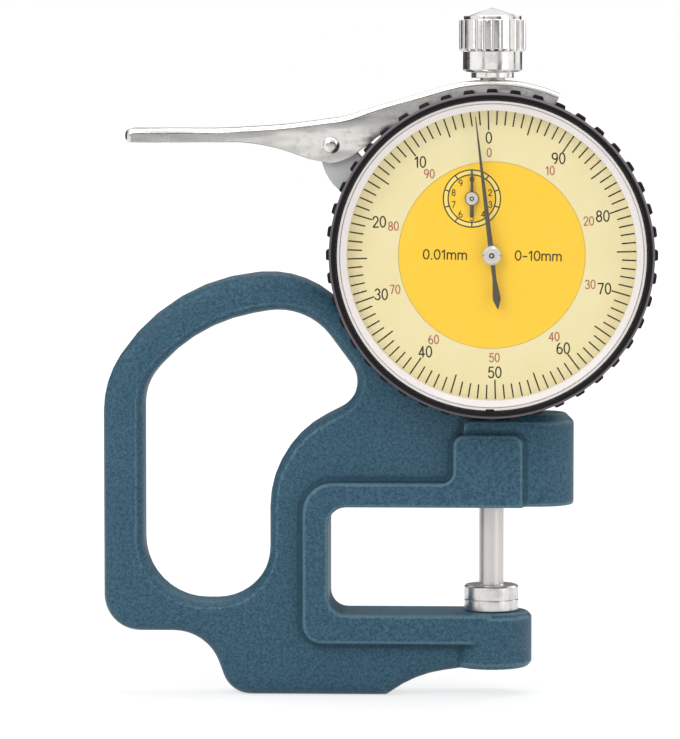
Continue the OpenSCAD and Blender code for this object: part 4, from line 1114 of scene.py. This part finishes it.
# Cap
class GAUGE_OT_cap(bpy.types.Operator):
    """Turns and flutes the lifting cap"""

    bl_idname = "gauge.cap"
    bl_label = "Lifting cap"

    def execute(self, context):
        low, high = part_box("lift_cap")
        z0, z1 = low[2] / MM, high[2] / MM
        collar, flute, cone = z0 + 1.1, z0 + 4.9, z0 + 10.65
        count = sizes().cap_flutes
        profile = eased([
            (1.6, z0, 0), (3.9, z0, 0.12), (3.9, collar, 0.15), (5.0, collar, 0.1), (5.45, collar + 0.4, 0.12),
            (5.45, flute, 0.12), (5.8, flute, 0.1), (6.15, flute + 0.4, 0.15), (6.15, flute + 0.7, 0),
            (6.15, cone - 0.3, 0), (6.10, cone, 0.12), (5.34, cone + 0.02, 0.05), (5.30, cone + 0.10, 0.03),
            (5.30, cone + 0.66, 0.04), (5.2, cone + 0.76, 0.03), (4.2, cone + 0.82, 0.05), (0.9, z1 - 0.28, 0.3),
            (0, z1, 0),
        ], 0.1, 4)

        def wave(r, along, angles):
            radii = np.full(len(angles), float(r))
            if flute + 0.12 < along < cone + 0.01 and r > 5.4:
                share = (np.mod(angles / (2 * math.pi) * count + 0.5, 1) - 0.5) * 2 * math.pi / count
                ring = 6.15 + 0.12
                cut = 0.46 * min(1.0, 0.2 + (along - flute) / 0.45)
                under = cut ** 2 - (ring * np.sin(share)) ** 2
                groove = np.where(under > 0, ring * np.cos(share) - np.sqrt(np.maximum(under, 0)), 99)
                radii = np.minimum(radii, groove)
            return radii

        points, faces = turned(profile, (0, 0), "z", count * (18), wave, closed=False)
        nickel = plated("cap_nickel", tinted(colour("nickel"), 0.20), "z", 0.11, 0.35, 0.25)
        build("cap_fluted", points, faces, nickel, "spindle", ["lift_cap"], "nickel", sharp=50)
        return {"FINISHED"}


# Measuring faces and spindle
class GAUGE_OT_spindle(bpy.types.Operator):
    """Turns the contact disc and the anvil and finishes the spindle, stem and bushes"""

    bl_idname = "gauge.spindle"
    bl_label = "Spindle, contact and anvil"

    def execute(self, context):
        steel = ground("ground_steel", colour("steel"), "z", 0.36)
        side = plated("disc_steel", colour("steel"), "z", 0.22, 0.7, 0.6)
        low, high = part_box("contact_point")
        top = high[2] / MM
        shoulder = 2.65
        disc = eased([
            (0, 0, 0), (4.86, 0, 0.02), (5.0, 0.14, 0.04), (5.0, shoulder - 0.3, 0.1),
            (4.7, shoulder, 0.08), (2.45, shoulder, 0.05), (2.35, shoulder + 0.12, 0.03), (1.19, shoulder + 0.12, 0),
            (1.19, top, 0), (0, top, 0),
        ], 0.05, 4)
        points, faces = turned(disc, (0, 0), "z", 144, closed=False)
        build("contact_disc", points, faces, side, "spindle", ["contact_point"], "ground_steel", sharp=30)
        low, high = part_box("anvil")
        foot = low[2] / MM
        seat = -2.15
        disc = eased([
            (0, foot, 0), (2.49, foot, 0.1), (2.49, seat, 0), (4.75, seat, 0.08), (5.0, seat + 0.25, 0.08),
            (5.0, -0.14, 0.04), (4.86, 0, 0.02), (0, 0, 0),
        ], 0.05, 4)
        points, faces = turned(disc, (0, 0), "z", 144, closed=False)
        build("anvil_disc", points, faces, side, "base", ["anvil"], "ground_steel", sharp=30)
        keep("spindle", steel, 0.06)
        keep("stem", ground("stem_steel", tinted(colour("steel"), -0.08), "z", 0.3), 0.1)
        brass = ground("bush_brass", colour("brass"), "z", 0.26)
        keep("lower_bush", brass, 0.08)
        keep("upper_bush", brass, 0.12)
        keep("stem_screw", plated("black_screw", (0.05, 0.05, 0.055), "none", 0.34, 0.5, 0.4), 0.08)
        return {"FINISHED"}


# Case
class GAUGE_OT_case(bpy.types.Operator):
    """Finishes the case, its back cover and their screws"""

    bl_idname = "gauge.case"
    bl_label = "Case and back"

    def execute(self, context):
        silver = faced("case_silver", (0.80, 0.765, 0.72), (DIAL_X, DIAL_Z), 0.24, 0.00014)
        keep("case", silver, 0.18, 3)
        keep("back_cover", faced("cover_silver", (0.60, 0.60, 0.58), (DIAL_X, DIAL_Z), 0.30, 0.0001), 0.12)
        keep("cover_screws", plated("case_screw_steel", colour("steel"), "none", 0.22, 0.5, 0.4), 0.08)
        return {"FINISHED"}


# Movement
class GAUGE_OT_movement(bpy.types.Operator):
    """Finishes the plates, wheels, pinions and springs inside the case"""

    bl_idname = "gauge.movement"
    bl_label = "Movement"

    def execute(self, context):
        brass = faced("plate_brass", colour("brass"), (DIAL_X, DIAL_Z), 0.28)
        steel = plated("small_steel", colour("steel"), "none", 0.22, 0.4, 0.35)
        blue = plated("spring_blue", (0.20, 0.24, 0.34), "none", 0.25, 0.4, 0.4)
        for node in ("base_plate", "front_plate", "rear_bridge", "transfer_wheel", "counter_wheel", "pillars"):
            keep(node, brass, 0.05 if "plate" in node or node == "pillars" else 0)
        for node in (
            "plate_screws", "bridge_screws", "guide_screws", "guide_rail", "guide_pin", "spring_pin",
            "spring_post", "hairspring_stud", "rack_pinion", "centre_pinion",
        ):
            keep(node, steel, 0.04 if "screws" in node or node == "guide_rail" else 0)
        for node in ("hairspring", "tension_spring"):
            keep(node, blue, 0)
        return {"FINISHED"}


# Studio
class GAUGE_OT_studio(bpy.types.Operator):
    """Sets the pale floor, the soft lamps, the white surround and the camera"""

    bl_idname = "gauge.studio"
    bl_label = "Studio"

    def execute(self, context):
        studio = context.scene.gauge_studio
        context.scene.view_settings.view_transform = "Standard"
        self.floor(context)
        self.surround(context, studio.room_light)
        power = studio.lamp_power
        self.lamp(context, "key_lamp", (-0.55, -0.75, 0.75), (0.7, 0.7), power * 1.3)
        self.lamp(context, "fill_lamp", (0.75, -0.65, 0.40), (0.5, 0.8), power * 0.45)
        self.lamp(context, "top_lamp", (0.05, 0.10, 0.95), (0.9, 0.5), power * 1.1)
        self.lamp(context, "rear_lamp", (0.75, 0.65, 0.55), (0.6, 0.6), power * 0.35)
        for name, turn, wide, grey in (
            ("card_left", -124, 50, 0.02), ("card_near", -35, 9, 0.15), ("card_front", 28, 17, 0.05),
            ("card_right", 96, 9, 0.05),
        ):
            self.panel(context, name, turn, wide, 0.75, (0.002, 0.48), grey)
        self.panel(context, "curtain", 0, 48, 1.5, (0.002, 0.93), 0.80)
        self.panel(context, "lintel", 0, 50, 1.4, (0.36, 0.74), 0.04)
        self.panel(context, "skirt", 180, 92, 0.6, (0.002, 0.28), 0.06)
        self.camera(context, studio.lens)
        return {"FINISHED"}

    def floor(self, context):
        made = bpy.data.materials.new("floor_paper")
        made.use_nodes = True
        made.node_tree.nodes.clear()
        wire = Wire(made.node_tree)
        place = wire.node("ShaderNodeTexCoord", out="Object")
        grain = place.noise(0.0015, 3.0)
        paper = wire.node("ShaderNodeBsdfDiffuse", None, {"Color": (0.88, 0.88, 0.88, 1)})
        glow = wire.node("ShaderNodeEmission", None, {"Color": (1, 1, 1, 1), "Strength": 1.15})
        away = place.node("ShaderNodeVectorMath", {"operation": "LENGTH"}, {0: place}, "Value")
        share = self.seen(wire) * (0.60 + away.step(0.10, 0.50) * 0.4 + grain * 0.01)
        mixed = wire.node("ShaderNodeMixShader", None, {0: share, 1: paper, 2: glow})
        wire.node("ShaderNodeOutputMaterial", None, {"Surface": mixed})
        ring = [(3.0 * math.cos(a), 3.0 * math.sin(a), FLOOR_Z) for a in np.arange(96) * math.pi / 48]
        mesh = bpy.data.meshes.new("studio_floor")
        mesh.from_pydata(ring, [], [tuple(range(96))])
        mesh.materials.append(made)
        floor = bpy.data.objects.new("studio_floor", mesh)
        context.scene.collection.objects.link(floor)

    def seen(self, wire):
        """1 for rays that see the backdrop directly, in polished metal or through glass"""
        ways = [wire.node("ShaderNodeLightPath", out=name) for name in (
            "Is Camera Ray", "Is Glossy Ray", "Is Transmission Ray",
        )]
        return wire.math("MINIMUM", ways[0] + ways[1] + ways[2], 1.0)

    def surround(self, context, strength):
        world = bpy.data.worlds.new("studio_room")
        world.use_nodes = True
        world.node_tree.nodes.clear()
        context.scene.world = world
        wire = Wire(world.node_tree)
        white = wire.node("ShaderNodeBackground", None, {"Color": (1, 1, 1, 1), "Strength": 1.0})
        room = wire.node("ShaderNodeBackground", None, {"Color": (0.97, 0.98, 1, 1), "Strength": strength})
        mixed = wire.node("ShaderNodeMixShader", None, {0: self.seen(wire), 1: room, 2: white})
        wire.node("ShaderNodeOutputWorld", None, {"Surface": mixed})

    def lamp(self, context, name, place, size, power):
        data = bpy.data.lights.new(name, "AREA")
        data.shape = "RECTANGLE"
        data.size, data.size_y = size
        data.energy = power
        lamp = bpy.data.objects.new(name, data)
        context.scene.collection.objects.link(lamp)
        lamp.location = place
        aim = Vector((-0.02, 0, 0.045)) - Vector(place)
        lamp.rotation_euler = aim.to_track_quat("-Z", "Y").to_euler()

    def panel(self, context, name, turn, wide, reach, heights, grey):
        """An upright felt panel out of view, which shows in bright metal; turn and width in degrees"""

        def recipe(wire, at):
            low, high = (grey * 0.9,) * 3, (grey * 1.1,) * 3
            return {"Base Color": at.noise(0.003).blend(low, high), "Roughness": 0.9 + at.noise(0.002) * 0.05}

        steps = max(4, round(wide / 6))
        points = []
        for share in np.linspace(-0.5, 0.5, steps + 1):
            a = math.radians(turn + wide * share)
            points += [(reach * math.sin(a), -reach * math.cos(a), FLOOR_Z + z) for z in heights]
        mesh = bpy.data.meshes.new(name)
        mesh.from_pydata(points, [], [(2 * i, 2 * i + 2, 2 * i + 3, 2 * i + 1) for i in range(steps)])
        mesh.materials.append(finish("felt_" + str(int(grey * 100)), recipe))
        made = bpy.data.objects.new(name, mesh)
        context.scene.collection.objects.link(made)
        made.visible_camera = False
        made.visible_diffuse = False
        made.visible_shadow = False

    def camera(self, context, lens):
        data = bpy.data.cameras.new("studio_camera")
        data.sensor_fit = "VERTICAL"
        data.sensor_height = 36
        data.lens = lens
        data.clip_start = 0.05
        camera = bpy.data.objects.new("studio_camera", data)
        context.scene.collection.objects.link(camera)
        place = Vector((4.516, -812.175, 99.348)) * MM
        aim = Vector((-28.104, 0, 42.509)) * MM - place
        camera.location = place
        camera.rotation_euler = aim.to_track_quat("-Z", "Y").to_euler()
        context.scene.camera = camera


STEPS = (
    GAUGE_OT_casting, GAUGE_OT_case, GAUGE_OT_movement, GAUGE_OT_spindle, GAUGE_OT_lever, GAUGE_OT_cap,
    GAUGE_OT_dial, GAUGE_OT_pointers, GAUGE_OT_bezel, GAUGE_OT_crystal, GAUGE_OT_studio,
)


class GAUGE_PT_panel(bpy.types.Panel):
    """Buttons for each piece and the sizes and colours that they use"""

    bl_idname = "GAUGE_PT_panel"
    bl_label = "Dial thickness gauge"
    bl_space_type = "VIEW_3D"
    bl_region_type = "UI"
    bl_category = "Gauge"

    def draw(self, context):
        column = self.layout.column(align=True)
        for step in STEPS:
            column.operator(step.bl_idname)
        for group in (
            context.scene.gauge_sizes, context.scene.gauge_colours, context.scene.gauge_studio,
        ):
            box = self.layout.box()
            for name in group.__class__.__annotations__:
                box.prop(group, name)


CLASSES = (GaugeSizes, GaugeColours, GaugeStudio, *STEPS, GAUGE_PT_panel)


def register():
    for made in CLASSES:
        bpy.utils.register_class(made)
    bpy.types.Scene.gauge_sizes = PointerProperty(type=GaugeSizes)
    bpy.types.Scene.gauge_colours = PointerProperty(type=GaugeColours)
    bpy.types.Scene.gauge_studio = PointerProperty(type=GaugeStudio)


def unregister():
    for name in ("gauge_studio", "gauge_colours", "gauge_sizes"):
        delattr(bpy.types.Scene, name)
    for made in reversed(CLASSES):
        bpy.utils.unregister_class(made)


def main():
    register()
    for step in STEPS:
        group, name = step.bl_idname.split(".")
        getattr(getattr(bpy.ops, group), name)()


if __name__ == "__main__":
    main()
